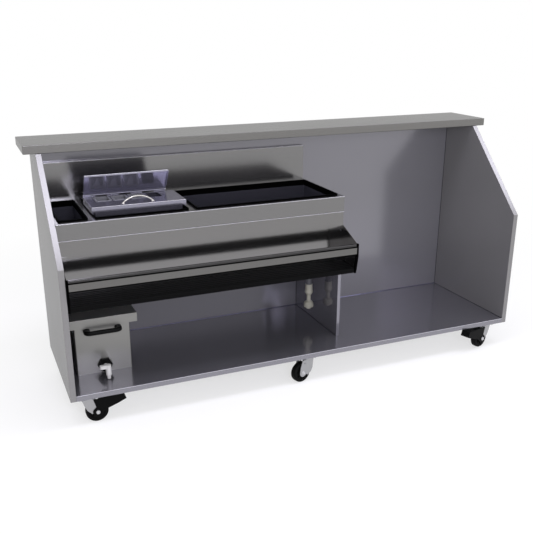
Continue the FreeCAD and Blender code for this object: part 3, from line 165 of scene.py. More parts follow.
# The floor fades to plain white between these distances from its middle, in metres.
FADE_FROM, FADE_TO = 1.2, 3.2
SHADOW_SHARE = 0.62
bm = bmesh.new()
bmesh.ops.create_grid(bm, x_segments=1, y_segments=1, size=FLOOR_HALF)
floor_mesh = bpy.data.meshes.new("studio_floor")
bm.to_mesh(floor_mesh)
bm.free()
floor = bpy.data.objects.new("studio_floor", floor_mesh)
bpy.context.scene.collection.objects.link(floor)

floor_mat = bpy.data.materials.new("pale_floor")
floor_mat.use_nodes = True
ft = floor_mat.node_tree
f_out = ft.nodes["Material Output"]
f_bsdf = ft.nodes["Principled BSDF"]
f_bsdf.inputs["Base Color"].default_value = (0.97, 0.97, 0.97, 1.0)
f_bsdf.inputs["Roughness"].default_value = 0.9
f_bsdf.inputs["Specular IOR Level"].default_value = 0.0
f_white = ft.nodes.new("ShaderNodeEmission")
f_white.inputs["Strength"].default_value = 1.0
f_path = ft.nodes.new("ShaderNodeLightPath")
f_where = ft.nodes.new("ShaderNodeTexCoord")
f_far = ft.nodes.new("ShaderNodeVectorMath")
f_far.operation = "LENGTH"
f_fade = ft.nodes.new("ShaderNodeMapRange")
f_fade.inputs["From Min"].default_value = FADE_FROM
f_fade.inputs["From Max"].default_value = FADE_TO
f_fade.inputs["To Min"].default_value = SHADOW_SHARE
f_fade.inputs["To Max"].default_value = 1.0
f_seen = ft.nodes.new("ShaderNodeMath")
f_seen.operation = "MAXIMUM"
f_any = ft.nodes.new("ShaderNodeMath")
f_any.operation = "MAXIMUM"
f_amount = ft.nodes.new("ShaderNodeMath")
f_amount.operation = "MULTIPLY"
f_mix = ft.nodes.new("ShaderNodeMixShader")
ft.links.new(f_where.outputs["Object"], f_far.inputs[0])
ft.links.new(f_far.outputs["Value"], f_fade.inputs["Value"])
ft.links.new(f_path.outputs["Is Camera Ray"], f_seen.inputs[0])
ft.links.new(f_path.outputs["Is Glossy Ray"], f_seen.inputs[1])
ft.links.new(f_seen.outputs[0], f_any.inputs[0])
ft.links.new(f_path.outputs["Is Transmission Ray"], f_any.inputs[1])
ft.links.new(f_any.outputs[0], f_amount.inputs[0])
ft.links.new(f_fade.outputs["Result"], f_amount.inputs[1])
ft.links.new(f_amount.outputs[0], f_mix.inputs["Fac"])
ft.links.new(f_bsdf.outputs[0], f_mix.inputs[1])
ft.links.new(f_white.outputs[0], f_mix.inputs[2])
ft.links.new(f_mix.outputs[0], f_out.inputs["Surface"])
floor_mesh.materials.append(floor_mat)
print("floor", floor.dimensions[0], "m wide")

# %% [markdown]
# ## Shared effects
# Several finishes share the same effects, so each effect is a node group with named sockets.
# `rolled_grain` is the fine long grain of sheet steel: noise stretched along one axis, with slow
# cloudy patches on top that stand for handling and wiping. `moulded_skin` is the small even
# texture that a steel mould leaves on plastic. A group only puts out colours and values. The
# shader stays in the material.

# %% Node groups
def new_group(name, inputs, outputs):
    """A shader node group with its named sockets; returns the tree and its two end nodes."""
    tree = bpy.data.node_groups.new(name, "ShaderNodeTree")
    for label, kind, default in inputs:
        socket = tree.interface.new_socket(label, in_out="INPUT", socket_type=kind)
        socket.default_value = default
    for label, kind in outputs:
        tree.interface.new_socket(label, in_out="OUTPUT", socket_type=kind)
    return tree, tree.nodes.new("NodeGroupInput"), tree.nodes.new("NodeGroupOutput")


def add(tree, kind, **settings):
    """A node with its attributes set."""
    node = tree.nodes.new(kind)
    for key, value in settings.items():
        setattr(node, key, value)
    return node


COLOUR = "NodeSocketColor"
NUMBER = "NodeSocketFloat"
VECTOR = "NodeSocketVector"

grain, g_in, g_out = new_group(
    "rolled_grain",
    [
        ("Colour", COLOUR, (0.4, 0.4, 0.4, 1.0)),
        ("Roughness", NUMBER, 0.3),
        ("Stretch", VECTOR, (3.0, 500.0, 500.0)),
        ("Grain", NUMBER, 0.1),
        ("Clouds", NUMBER, 0.1),
        ("Cloud size", NUMBER, 3.0),
    ],
    [("Colour", COLOUR), ("Roughness", NUMBER), ("Height", NUMBER)],
)
g_where = add(grain, "ShaderNodeTexCoord")
g_scale = add(grain, "ShaderNodeVectorMath", operation="MULTIPLY")
g_lines = add(grain, "ShaderNodeTexNoise")
g_lines.inputs["Scale"].default_value = 1.0
g_lines.inputs["Detail"].default_value = 3.0
g_cloud = add(grain, "ShaderNodeTexNoise")
g_cloud.inputs["Detail"].default_value = 4.0
g_cloud.inputs["Roughness"].default_value = 0.6
g_line_off = add(grain, "ShaderNodeMath", operation="SUBTRACT")
g_line_off.inputs[1].default_value = 0.5
g_cloud_off = add(grain, "ShaderNodeMath", operation="SUBTRACT")
g_cloud_off.inputs[1].default_value = 0.5
g_line_amt = add(grain, "ShaderNodeMath", operation="MULTIPLY")
g_cloud_amt = add(grain, "ShaderNodeMath", operation="MULTIPLY")
g_sum = add(grain, "ShaderNodeMath", operation="ADD")
g_rough = add(grain, "ShaderNodeMath", operation="ADD", use_clamp=True)
g_gain = add(grain, "ShaderNodeMath", operation="SUBTRACT")
g_gain.inputs[0].default_value = 1.0
g_colour = add(grain, "ShaderNodeVectorMath", operation="SCALE")
grain.links.new(g_where.outputs["Object"], g_scale.inputs[0])
grain.links.new(g_in.outputs["Stretch"], g_scale.inputs[1])
grain.links.new(g_scale.outputs[0], g_lines.inputs["Vector"])
grain.links.new(g_where.outputs["Object"], g_cloud.inputs["Vector"])
grain.links.new(g_in.outputs["Cloud size"], g_cloud.inputs["Scale"])
grain.links.new(g_lines.outputs["Fac"], g_line_off.inputs[0])
grain.links.new(g_cloud.outputs["Fac"], g_cloud_off.inputs[0])
grain.links.new(g_line_off.outputs[0], g_line_amt.inputs[0])
grain.links.new(g_in.outputs["Grain"], g_line_amt.inputs[1])
grain.links.new(g_cloud_off.outputs[0], g_cloud_amt.inputs[0])
grain.links.new(g_in.outputs["Clouds"], g_cloud_amt.inputs[1])
grain.links.new(g_line_amt.outputs[0], g_sum.inputs[0])
grain.links.new(g_cloud_amt.outputs[0], g_sum.inputs[1])
grain.links.new(g_in.outputs["Roughness"], g_rough.inputs[0])
grain.links.new(g_sum.outputs[0], g_rough.inputs[1])
grain.links.new(g_sum.outputs[0], g_gain.inputs[1])
grain.links.new(g_in.outputs["Colour"], g_colour.inputs[0])
grain.links.new(g_gain.outputs[0], g_colour.inputs["Scale"])
grain.links.new(g_colour.outputs[0], g_out.inputs["Colour"])
grain.links.new(g_rough.outputs[0], g_out.inputs["Roughness"])
grain.links.new(g_lines.outputs["Fac"], g_out.inputs["Height"])

skin, s_in, s_out = new_group(
    "moulded_skin",
    [
        ("Colour", COLOUR, (0.03, 0.03, 0.03, 1.0)),
        ("Dust", COLOUR, (0.2, 0.2, 0.2, 1.0)),
        ("Roughness", NUMBER, 0.45),
        ("Pebble size", NUMBER, 900.0),
        ("Dust amount", NUMBER, 0.06),
    ],
    [("Colour", COLOUR), ("Roughness", NUMBER), ("Height", NUMBER)],
)
s_where = add(skin, "ShaderNodeTexCoord")
s_pebble = add(skin, "ShaderNodeTexNoise")
s_pebble.inputs["Detail"].default_value = 2.0
s_dust = add(skin, "ShaderNodeTexNoise")
s_dust.inputs["Scale"].default_value = 14.0
s_dust.inputs["Detail"].default_value = 5.0
s_mask = add(skin, "ShaderNodeMapRange")
s_mask.inputs["From Min"].default_value = 0.4
s_mask.inputs["From Max"].default_value = 0.8
s_amount = add(skin, "ShaderNodeMath", operation="MULTIPLY")
s_mix = add(skin, "ShaderNodeMix", data_type="RGBA")
s_rough = add(skin, "ShaderNodeMath", operation="ADD", use_clamp=True)
skin.links.new(s_where.outputs["Object"], s_pebble.inputs["Vector"])
skin.links.new(s_in.outputs["Pebble size"], s_pebble.inputs["Scale"])
skin.links.new(s_where.outputs["Object"], s_dust.inputs["Vector"])
skin.links.new(s_dust.outputs["Fac"], s_mask.inputs["Value"])
skin.links.new(s_mask.outputs["Result"], s_amount.inputs[0])
skin.links.new(s_in.outputs["Dust amount"], s_amount.inputs[1])
skin.links.new(s_amount.outputs[0], s_mix.inputs["Factor"])
skin.links.new(s_in.outputs["Colour"], s_mix.inputs["A"])
skin.links.new(s_in.outputs["Dust"], s_mix.inputs["B"])
skin.links.new(s_in.outputs["Roughness"], s_rough.inputs[0])
skin.links.new(s_amount.outputs[0], s_rough.inputs[1])
skin.links.new(s_mix.outputs["Result"], s_out.inputs["Colour"])
skin.links.new(s_rough.outputs[0], s_out.inputs["Roughness"])
skin.links.new(s_pebble.outputs["Fac"], s_out.inputs["Height"])
print("groups", [g.name for g in bpy.data.node_groups])

# %% [markdown]
# ## Finishes
# Every finish starts from one of the two groups. `steel` makes a metal whose grain runs along a
# chosen axis, and `plastic` makes a moulded finish. The bump distances are in millimetres. Sheet
# steel gets far less than a hundredth, so the grain softens a highlight and never shows as waves.

# %% Finish helpers
GRAIN_ALONG = {"x": (6.0, 1600.0, 1600.0), "y": (1600.0, 6.0, 1600.0), "z": (1600.0, 1600.0, 6.0)}


def finish(name, group, values, metallic, bump, **sockets):
    """A Principled material fed by one of the shared groups."""
    material = bpy.data.materials.new(name)
    material.use_nodes = True
    tree = material.node_tree
    bsdf = tree.nodes["Principled BSDF"]
    effect = add(tree, "ShaderNodeGroup", node_tree=group)
    for label, value in values.items():
        effect.inputs[label].default_value = value
    height = add(tree, "ShaderNodeBump")
    height.inputs["Strength"].default_value = 1.0
    height.inputs["Distance"].default_value = bump * MM
    tree.links.new(effect.outputs["Colour"], bsdf.inputs["Base Color"])
    tree.links.new(effect.outputs["Roughness"], bsdf.inputs["Roughness"])
    tree.links.new(effect.outputs["Height"], height.inputs["Height"])
    tree.links.new(height.outputs["Normal"], bsdf.inputs["Normal"])
    bsdf.inputs["Metallic"].default_value = metallic
    for label, value in sockets.items():
        bsdf.inputs[label.replace("_", " ")].default_value = value
    return material


def steel(name, colour, roughness, along="x", metallic=0.6, edge=1.0, **changes):
    """Sheet steel. The edge value dims its reflection at grazing angles."""
    values = {
        "Colour": (*colour, 1.0),
        "Roughness": roughness,
        "Stretch": GRAIN_ALONG[along],
        "Grain": 0.05,
        "Clouds": 0.05,
        "Cloud size": 2.2,
    }
    values.update(changes)
    return finish(name, grain, values, metallic, 0.0004, Specular_Tint=(edge, edge, edge, 1.0))


def plastic(name, colour, roughness, dust=0.05, pebble=900.0, bump=0.02, **sockets):
    pale = tuple(min(1.0, c + 0.25) for c in colour)
    values = {
        "Colour": (*colour, 1.0),
        "Dust": (*pale, 1.0),
        "Roughness": roughness,
        "Pebble size": pebble,
        "Dust amount": dust,
    }
    return finish(name, skin, values, 0.0, bump, **sockets)


# %% The finishes of this bar
FINISHES = {
    "bar_top": steel("bar_top_steel", (0.152, 0.149, 0.142), 0.28, "x", 0.85, 0.75),
    "panel_steel": steel("panel_steel", (0.245, 0.240, 0.240), 0.20, "z", 0.55, 0.22),
    # The inside steels below carry a bluish tint: painted lavender bounce light inside the bar.
    "inner_steel": steel("inner_steel", (0.222, 0.218, 0.236), 0.16, "z", 0.50, 0.8),
    "deck_steel": steel("deck_steel", (0.248, 0.244, 0.268), 0.15, "x", 0.76),
    "unit_steel": steel("unit_steel", (0.205, 0.202, 0.202), 0.18, "x", 0.90),
    # Dark navy: painted shade and bluish bounce light inside the bins, not the steel's own colour.
    "bin_steel": steel("bin_steel", (0.13, 0.13, 0.16), 0.24, "x", 0.8),
    "casing_steel": steel("casing_steel", (0.23, 0.23, 0.24), 0.32, "x"),
    "foam": plastic("poured_foam", (0.70, 0.62, 0.40), 0.8, pebble=300.0, bump=0.3),
    "black_plastic": plastic(
        "black_breaker_plastic", (0.001, 0.001, 0.001), 0.5, dust=0.0, bump=0.0, Specular_IOR_Level=0.005,
    ),
    "rail_steel": steel("rail_steel", (0.215, 0.210, 0.210), 0.14, "x", 0.98),
    "rail_liner": plastic(
        "rail_liner_plastic", (0.003, 0.003, 0.003), 0.5, dust=0.0, bump=0.0, Specular_IOR_Level=0.04,
    ),
    "band_steel": steel("band_steel", (0.150, 0.147, 0.142), 0.26, "x", 0.92),
    "screw_steel": steel("dark_screw_steel", (0.03, 0.03, 0.032), 0.35, "z", 0.9),
    # Far paler than the sheets: the bright fold lines are a painted highlight.
    "fold_highlight_steel": steel("fold_highlight_steel", (0.62, 0.61, 0.66), 0.3, "x", 0.7),
    # Near-black steel: painted shade of the channel, which the back wall mirrors as a dark band.
    "channel_shade_steel": steel("channel_shade_steel", (0.055, 0.054, 0.054), 0.22, "x", 0.9),
    # Paler and bluer than the inside steel: painted light on the divider.
    "divider_lit_steel": steel("divider_lit_steel", (0.250, 0.245, 0.275), 0.09, "z", 0.72),
    # Tinted blue: a painted lavender reflection on the joint strip.
    "joint_lavender_sheen_steel": steel("joint_lavender_sheen_steel", (0.16, 0.155, 0.25), 0.12, "x", 0.9),
    # Near-black rods in the inside joints: painted shade.
    "seam_shade": plastic(
        "painted_seam_shade", (0.012, 0.012, 0.016), 0.6, dust=0.0, Specular_IOR_Level=0.1,
    ),
    "pipe_grey": plastic("grey_pipe", (0.09, 0.09, 0.10), 0.4, Specular_IOR_Level=0.3),
    "cream_plastic": plastic("cream_fitting", (0.36, 0.35, 0.29), 0.45, Specular_IOR_Level=0.3),
    # The lavender tint is painted bounce light on the tray and lid.
    "tray_steel": steel("tray_steel", (0.285, 0.278, 0.340), 0.15, "x", 0.80),
    # Grey plastic darkened so the lit rims stay dull: the pans' own grey plus painted shade.
    "pan_plastic": plastic(
        "pan_plastic", (0.17, 0.17, 0.185), 0.3, dust=0.0, Specular_IOR_Level=0.3,
    ),
    "handle_wire": steel("handle_wire", (0.55, 0.53, 0.48), 0.25, "x"),
    "pin_steel": steel("hinge_pin_steel", (0.40, 0.40, 0.40), 0.2, "x"),
    "tank_steel": steel("tank_steel", (0.242, 0.240, 0.226), 0.36, "x", 0.72),
    "black_handle": plastic(
        "black_handle", (0.003, 0.003, 0.003), 0.4, dust=0.0, Specular_IOR_Level=0.08,
    ),
    "spigot_white": plastic("white_spigot", (0.62, 0.61, 0.60), 0.4),
    "caster_zinc": steel("caster_zinc", (0.34, 0.34, 0.34), 0.36, "z", Clouds=0.12),
    "caster_bolt_zinc": steel("caster_bolt_zinc", (0.60, 0.60, 0.60), 0.3, "z"),
    "wheel_black": plastic(
        "wheel_rubber", (0.003, 0.003, 0.003), 0.55, dust=0.0, Specular_IOR_Level=0.06,
    ),
    "brake_black": plastic(
        "brake_black", (0.002, 0.002, 0.002), 0.45, dust=0.0, Specular_IOR_Level=0.06,
    ),
}
slot_of = {s["node"]: s["material_slot"] for s in frame["record"]["subparts"]}
# These two nodes look unlike the others of their slot, so they have a finish of their own with
# light and shade painted in: the front channel is near-black, painted shade that the back wall
# mirrors as a dark band, and the divider is a paler, bluish steel, painted as lit.
LIGHT_AND_SHADE_FINISH = {"rail_front_channel": "channel_shade_steel", "divider_panel": "divider_lit_steel"}
for name, node in nodes.items():
    node_finish = FINISHES[LIGHT_AND_SHADE_FINISH.get(name, slot_of[name])]
    if not node.material_slots:
        node.data.materials.append(node_finish)
    for material_slot in node.material_slots:
        material_slot.material = node_finish
print("finished", len(nodes), "nodes with", len(FINISHES), "finishes")

# %% [markdown]
# ## How the new pieces are made
# Small turned and moulded pieces are modelled here with bmesh operators, in millimetres round
# their own centre, and then set into their place on the bar. `lathe` spins an outline about the
# Z axis, as a turner would, and merges the doubles that a full turn leaves. `set_piece` turns the
# faces outwards, smooths the round parts and keeps the sharp ones, and hands the piece to the
# body that carries it.

# %% Helpers for new pieces
TURN_X = Matrix.Rotation(math.radians(90), 4, "X")


def lathe(outline, steps=48):
    """Spin a closed radius-height outline about Z."""
    bm = bmesh.new()
    points = [bm.verts.new((radius, 0.0, height)) for radius, height in outline]
    lines = [bm.edges.new(pair) for pair in zip(points, points[1:] + points[:1])]
    bmesh.ops.spin(
        bm,
        geom=points + lines,
        cent=(0.0, 0.0, 0.0),
        axis=(0.0, 0.0, 1.0),
        angle=2 * math.pi,
        steps=steps,
        use_merge=True,
    )
    bmesh.ops.remove_doubles(bm, verts=bm.verts[:], dist=0.001)
    bmesh.ops.recalc_face_normals(bm, faces=bm.faces[:])
    return bm


def join_into(target, source, matrix):
    """Add a copy of one bmesh to another, moved by a matrix."""
    loose = bpy.data.meshes.new("loose")
    source.to_mesh(loose)
    before = len(target.verts)
    target.from_mesh(loose)
    target.verts.ensure_lookup_table()
    bmesh.ops.transform(target, matrix=matrix, verts=target.verts[before:])
    bpy.data.meshes.remove(loose)


def round_edges(bm, edges, offset, segments):
    """Bevel the edges of a bmesh to a round."""
    bmesh.ops.bevel(
        bm, geom=edges, offset=offset, offset_type="OFFSET",
        segments=segments, profile=0.5, affect="EDGES", material=-1,
    )


def add_rod(target, start, end, radius, segments, trim=0.0):
    """Add a straight rod between two points, shorter by the trim."""
    run = Vector(end) - Vector(start)
    rod = bmesh.new()
    bmesh.ops.create_cone(
        rod, cap_ends=True, segments=segments, radius1=radius, radius2=radius,
        depth=run.length - trim,
    )
    turn = run.to_track_quat("Z", "Y").to_matrix().to_4x4()
    join_into(target, rod, Matrix.Translation((Vector(start) + Vector(end)) / 2) @ turn)
    rod.free()


def set_piece(name, bm, body, slot, matrix=None, stands_for=(), sharp=32.0):
    """Finish a bmesh as a piece that rides on a body. The matrix is in drawing millimetres."""
    into_scene = Matrix.Translation(DRAWING_ORIGIN) @ Matrix.Scale(MM, 4)
    bmesh.ops.transform(bm, matrix=into_scene @ (matrix or Matrix()), verts=bm.verts[:])
    bmesh.ops.recalc_face_normals(bm, faces=bm.faces[:])
    mesh = bpy.data.meshes.new(name)
    bm.to_mesh(mesh)
    bm.free()
    mesh.shade_smooth()
    mesh.set_sharp_from_angle(angle=math.radians(sharp))
    mesh.materials.append(FINISHES[slot])
    piece = bpy.data.objects.new(name, mesh)
    bpy.context.scene.collection.objects.link(piece)
    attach(piece, body)
    if stands_for:
        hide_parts(*stands_for)
    return piece


print("helpers ready")

# %% [markdown]
# ## Casters
# Each caster turns about its own upright axis, so everything on it is placed by one matrix: the
# swivel's place and its angle. The wheel of a real 4 inch caster is a hard tyre moulded round a
# ribbed core. The tyre is an outline spun about the axle, and the ribs are faces of the web that
# are pulled outwards.

# %% Where the casters are
CASTER_ROWS = {"front": 38.0, "rear": 559.3}
CASTER_COLUMNS = {"left": 77.0, "middle": 1147.0, "right": 2222.0}
CASTER_ANGLES = {
    "front_left": 2.0,
    "front_middle": 195.0,
    "front_right": 197.0,
    "rear_left": 24.0,
    "rear_middle": 172.0,
    "rear_right": 214.0,
}
TRAIL = 37.0
AXLE_DROP = -76.2


def caster_place(name):
    """Matrix from a caster's own frame to the drawing."""
    row, column = name.split("_")
    where = Matrix.Translation((CASTER_COLUMNS[column], CASTER_ROWS[row], CASTER_H))
    return where @ Matrix.Rotation(math.radians(CASTER_ANGLES[name]), 4, "Z")


AXLE = Matrix.Translation((TRAIL, 0.0, AXLE_DROP)) @ TURN_X
print("casters", list(CASTER_ANGLES))

# %% Wheels
WHEEL_OUTLINE = [
    (6.1, 18.6), (11.0, 18.6), (13.0, 17.6), (14.5, 11.5), (33.0, 11.0), (35.0, 12.0), (37.0, 15.2),
    (44.0, 15.9), (47.5, 15.0), (49.8, 12.6), (50.6, 9.0), (50.8, 4.0), (50.8, -4.0), (50.6, -9.0),
    (49.8, -12.6), (47.5, -15.0), (44.0, -15.9), (37.0, -15.2), (35.0, -12.0), (33.0, -11.0),
    (14.5, -11.5), (13.0, -17.6), (11.0, -18.6), (6.1, -18.6),
]
WHEEL_STEPS = 64
RIB_EVERY = 8
RIB_HIGH = 4.0


def ribbed_wheel():
    bm = lathe(WHEEL_OUTLINE, WHEEL_STEPS)
    webs = []
    for face in bm.faces:
        middle = face.calc_center_median()
        radius = math.hypot(middle.x, middle.y)
        place = round(math.degrees(math.atan2(middle.y, middle.x)) / (360 / WHEEL_STEPS) - 0.5)
        if 15 < radius < 33 and place % RIB_EVERY == 0:
            webs.append(face)
    ribs = bmesh.ops.extrude_discrete_faces(bm, faces=webs)["faces"]
    for face in ribs:
        lift = RIB_HIGH if face.calc_center_median().z > 0 else -RIB_HIGH
        bmesh.ops.translate(bm, vec=(0.0, 0.0, lift), verts=face.verts[:])
    return bm


for name in CASTER_ANGLES:
    set_piece(
        f"wheel_{name}_moulded",
        ribbed_wheel(),
        f"wheel_{name}",
        "wheel_black",
        caster_place(name) @ AXLE,
        [f"caster_wheel_{name}"],
    )
print("wheels", len(CASTER_ANGLES))

# %% [markdown]
# The axle ends in a low bright head on each side, with a turned ring and a small centre pin. The
# head is what catches the light on each caster in the picture. Heads of the two braked casters
# stand further out, because the brake's cheeks hang on the same axle.

# %% Axle heads
HEAD_OUTLINE = [
    (0.0, 0.0), (9.5, 0.0), (9.5, 2.6), (8.9, 3.9), (7.6, 4.9), (5.4, 5.4),
    (4.6, 4.5), (3.4, 4.5), (3.0, 5.6), (0.0, 5.9),
]
HEAD_SEAT = {"plain": 22.0, "braked": 25.1}
BRAKED_CASTERS = ("front_left", "front_right")

for name in CASTER_ANGLES:
    seat = HEAD_SEAT["braked" if name in BRAKED_CASTERS else "plain"]
    heads = bmesh.new()
    head = lathe(HEAD_OUTLINE, 32)
    join_into(heads, head, Matrix.Translation((0, 0, seat)))
    join_into(heads, head, Matrix.Rotation(math.pi, 4, "X") @ Matrix.Translation((0, 0, seat)))
    head.free()
    set_piece(
        f"axle_heads_{name}", heads, f"fork_{name}", "caster_bolt_zinc", caster_place(name) @ AXLE,
    )
print("axle heads", 2 * len(CASTER_ANGLES))

# %% [markdown]
# The foot pedal of a brake has raised bars so that a shoe doesn't slip. Each bar is a thin block
# with all its edges bevelled, laid across the pedal's top.

# %% Pedal grips
BAR_BLOCK = (3.0, 40.0, 3.0)
GRIP_BARS = [(132.0, -8.6), (141.0, -8.1), (150.0, -7.7)]

for name in BRAKED_CASTERS:
    bars = bmesh.new()
    for x, z in GRIP_BARS:
        bar = bmesh.new()
        bmesh.ops.create_cube(bar, size=1.0, matrix=Matrix.Diagonal((*BAR_BLOCK, 1.0)))
        round_edges(bar, bar.edges[:], 0.9, 2)
        join_into(bars, bar, Matrix.Translation((x, 0.0, z)))
        bar.free()
    set_piece(f"pedal_grip_{name}", bars, f"brake_{name}", "brake_black", caster_place(name))
print("pedal grips", len(BRAKED_CASTERS))

# %% [markdown]
# Four hexagon screws hold each caster's plate to the deck. One screw is made once: a six-sided
# cone gives the head with its chamfer, and a disc under it is the flange. It is then copied to
# all the places, and the piece stands for the CAD's plain round heads.

# %% Plate screws
SCREW_SPACING = (72.0, 44.0)
PLATE_T = 3.0


def hexagon_screw():
    bm = bmesh.new()
    bmesh.ops.create_cone(
        bm, cap_ends=True, segments=6, radius1=7.0, radius2=7.5, depth=4.4,
        matrix=Matrix.Translation((0, 0, -3.4)),
    )
    round_edges(bm, bm.edges[:], 0.6, 2)
    flange = lathe([(0.0, 0.0), (9.0, 0.0), (9.0, -0.8), (8.4, -1.3), (0.0, -1.3)], 24)
    shank = lathe([(0.0, 0.0), (4.0, 0.0), (4.0, 18.0), (3.0, 19.0), (0.0, 19.0)], 16)
    join_into(bm, flange, Matrix())
    join_into(bm, shank, Matrix())
    flange.free()
    shank.free()
    return bm


screws = bmesh.new()
screw = hexagon_screw()
for y in CASTER_ROWS.values():
    for x in CASTER_COLUMNS.values():
        for side_x in (-0.5, 0.5):
            for side_y in (-0.5, 0.5):
                screw_x = x + side_x * SCREW_SPACING[0]
                screw_y = y + side_y * SCREW_SPACING[1]
                seat = Matrix.Translation((screw_x, screw_y, CASTER_H - PLATE_T))
                join_into(screws, screw, seat)
screw.free()
set_piece("plate_screws", screws, "carcass", "caster_bolt_zinc", None, ["caster_bolts"])
print("plate screws", 4 * len(CASTER_ANGLES))

# %% [markdown]
# ## Garnish pans
# A garnish pan is injection-moulded: a flat rim, straight tapering walls, and round corners
# everywhere, because a mould can't have sharp ones. The rim is a bevelled block. Its top face is
# inset and pushed down to make the inside, and its bottom face the same way to make the outside,
# so the wall keeps its thickness.

# %% Garnish pans
PAN_W, PAN_L, PAN_DEEP = 73.0, 93.0, 62.0
PAN_RIM_T, PAN_LIP, PAN_WALL = 2.0, 7.0, 1.5
PAN_FIRST_X, PAN_PITCH = 231.5, 79.0
PAN_FRONT_Y = 323.5
TRAY_TOP = 793.5 + CASTER_H


def sink_face(bm, face, inset, depth, taper):
    """Inset a face and push it along Z, pulling it in by the taper."""
    bmesh.ops.inset_region(bm, faces=[face], thickness=inset, use_even_offset=True)
    pushed = bmesh.ops.extrude_face_region(bm, geom=[face])["geom"]
    bmesh.ops.delete(bm, geom=[face], context="FACES_ONLY")
    ends = [v for v in pushed if isinstance(v, bmesh.types.BMVert)]
    size_x = max(v.co.x for v in ends) - min(v.co.x for v in ends)
    size_y = max(v.co.y for v in ends) - min(v.co.y for v in ends)
    shrink = ((size_x - 2 * taper) / size_x, (size_y - 2 * taper) / size_y, 1.0)
    bmesh.ops.scale(bm, vec=shrink, verts=ends)
    bmesh.ops.translate(bm, vec=(0.0, 0.0, depth), verts=ends)
    return [e for e in pushed if isinstance(e, bmesh.types.BMEdge)]


def garnish_pan():
    bm = bmesh.new()
    bmesh.ops.create_cube(bm, size=1.0, matrix=Matrix.Diagonal((PAN_W, PAN_L, PAN_RIM_T, 1.0)))
    bmesh.ops.translate(bm, vec=(0.0, 0.0, PAN_RIM_T / 2), verts=bm.verts[:])
    round_edges(bm, [e for e in bm.edges if abs(e.verts[0].co.z - e.verts[1].co.z) > 1.0], 9.0, 6)
    top = max(bm.faces, key=lambda f: (f.calc_center_median().z, f.calc_area()))
    inside = sink_face(bm, top, PAN_LIP + PAN_WALL, -(PAN_DEEP - PAN_WALL), 4.0)
    bottom = min(
        (f for f in bm.faces if abs(f.normal.z) > 0.9 and f.calc_area() > 4000),
        key=lambda f: f.calc_center_median().z if f.calc_center_median().z > -1 else 99.0,
    )
    outside = sink_face(bm, bottom, PAN_LIP, -(PAN_DEEP - PAN_RIM_T), 4.0)
    round_edges(bm, inside + outside, 5.0, 4)
    return bm


for number in (1, 2, 3):
    x = PAN_FIRST_X + (number - 1) * PAN_PITCH + PAN_W / 2
    where = Matrix.Translation((x, PAN_FRONT_Y + PAN_L / 2, TRAY_TOP))
    set_piece(
        f"garnish_pan_{number}", garnish_pan(), f"pan_{number}", "pan_plastic", where,
        [f"condiment_pan_{number}"],
    )
print("garnish pans at", round(PAN_FRONT_Y, 1))

# %% [markdown]
# ## Drain collar
# The collar under the drain is turned by hand, so its rim has a row of shallow grips. They are
# every other face of the rim, pulled outwards after the spin. A dark groove runs round its waist,
# as the picture shows.

# %% Drain collar
DRAIN_X, DRAIN_Y = 1310.0, 353.0
COLLAR_TOP = 142.0 + CASTER_H - 0.3
COLLAR_OUTLINE = [
    (12.1, 0.0), (23.0, 0.0), (24.2, -0.8), (24.2, -8.4), (22.2, -9.2),
    (22.2, -10.8), (24.2, -11.6), (24.2, -19.2), (23.0, -20.0), (12.1, -20.0),
]
collar = lathe(COLLAR_OUTLINE, 72)
grips = []
for face in collar.faces:
    middle = face.calc_center_median()
    sector = int(math.degrees(math.atan2(middle.y, middle.x)) % 360 / 5)
    if math.hypot(middle.x, middle.y) > 24.0 and sector % 4 < 2:
        grips.append(face)
collar.normal_update()
bmesh.ops.inset_individual(collar, faces=grips, thickness=0.2, depth=0.9)
set_piece(
    "drain_collar_grips", collar, "drain_collar", "cream_plastic",
    Matrix.Translation((DRAIN_X, DRAIN_Y, COLLAR_TOP)), ["drain_collar"], 25.0,
)
print("drain collar at", DRAIN_X, DRAIN_Y)

# %% [markdown]
# ## Rail screws
# The rail's end plates are held by four dark screws with a cross in a low domed head. The head
# starts as a grid of seven by seven cells. Moving its points from a square onto a disc keeps the
# cells, so the cross is simply the middle row and column pushed down.

# %% Rail screws
RAIL_WALL = 143.0
SHEET_T = 1.5
CROSS_DEEP = 1.1
RAIL_SCREW_X = (44.9, 1371.6)
RAIL_SCREW_Z = (470.5 + CASTER_H, 587.0 + CASTER_H)


def cross_head(radius, rise):
    bm = bmesh.new()
    bmesh.ops.create_grid(bm, x_segments=7, y_segments=7, size=1.0)
    bm.faces.ensure_lookup_table()
    cross = []
    for face in bm.faces:
        x, y, _ = face.calc_center_median()
        if min(abs(x), abs(y)) < 0.1 and max(abs(x), abs(y)) < 0.7:
            cross.append(face)
    for vert in bm.verts:
        u, v = vert.co.x, vert.co.y
        x = u * math.sqrt(1 - v * v / 2)
        y = v * math.sqrt(1 - u * u / 2)
        vert.co = (radius * x, radius * y, rise * (1 - 0.6 * (x * x + y * y)))
    rim = [e for e in bm.edges if e.is_boundary]
    skirt = bmesh.ops.extrude_edge_only(bm, edges=rim)["geom"]
    for vert in (g for g in skirt if isinstance(g, bmesh.types.BMVert)):
        vert.co.z = 0.0
    pushed = bmesh.ops.extrude_face_region(bm, geom=cross)["geom"]
    bmesh.ops.delete(bm, geom=cross, context="FACES_ONLY")
    floor_points = [g for g in pushed if isinstance(g, bmesh.types.BMVert)]
    bmesh.ops.translate(bm, vec=(0.0, 0.0, -CROSS_DEEP), verts=floor_points)
    bmesh.ops.scale(bm, vec=(0.8, 0.8, 1.0), verts=floor_points)
    return bm


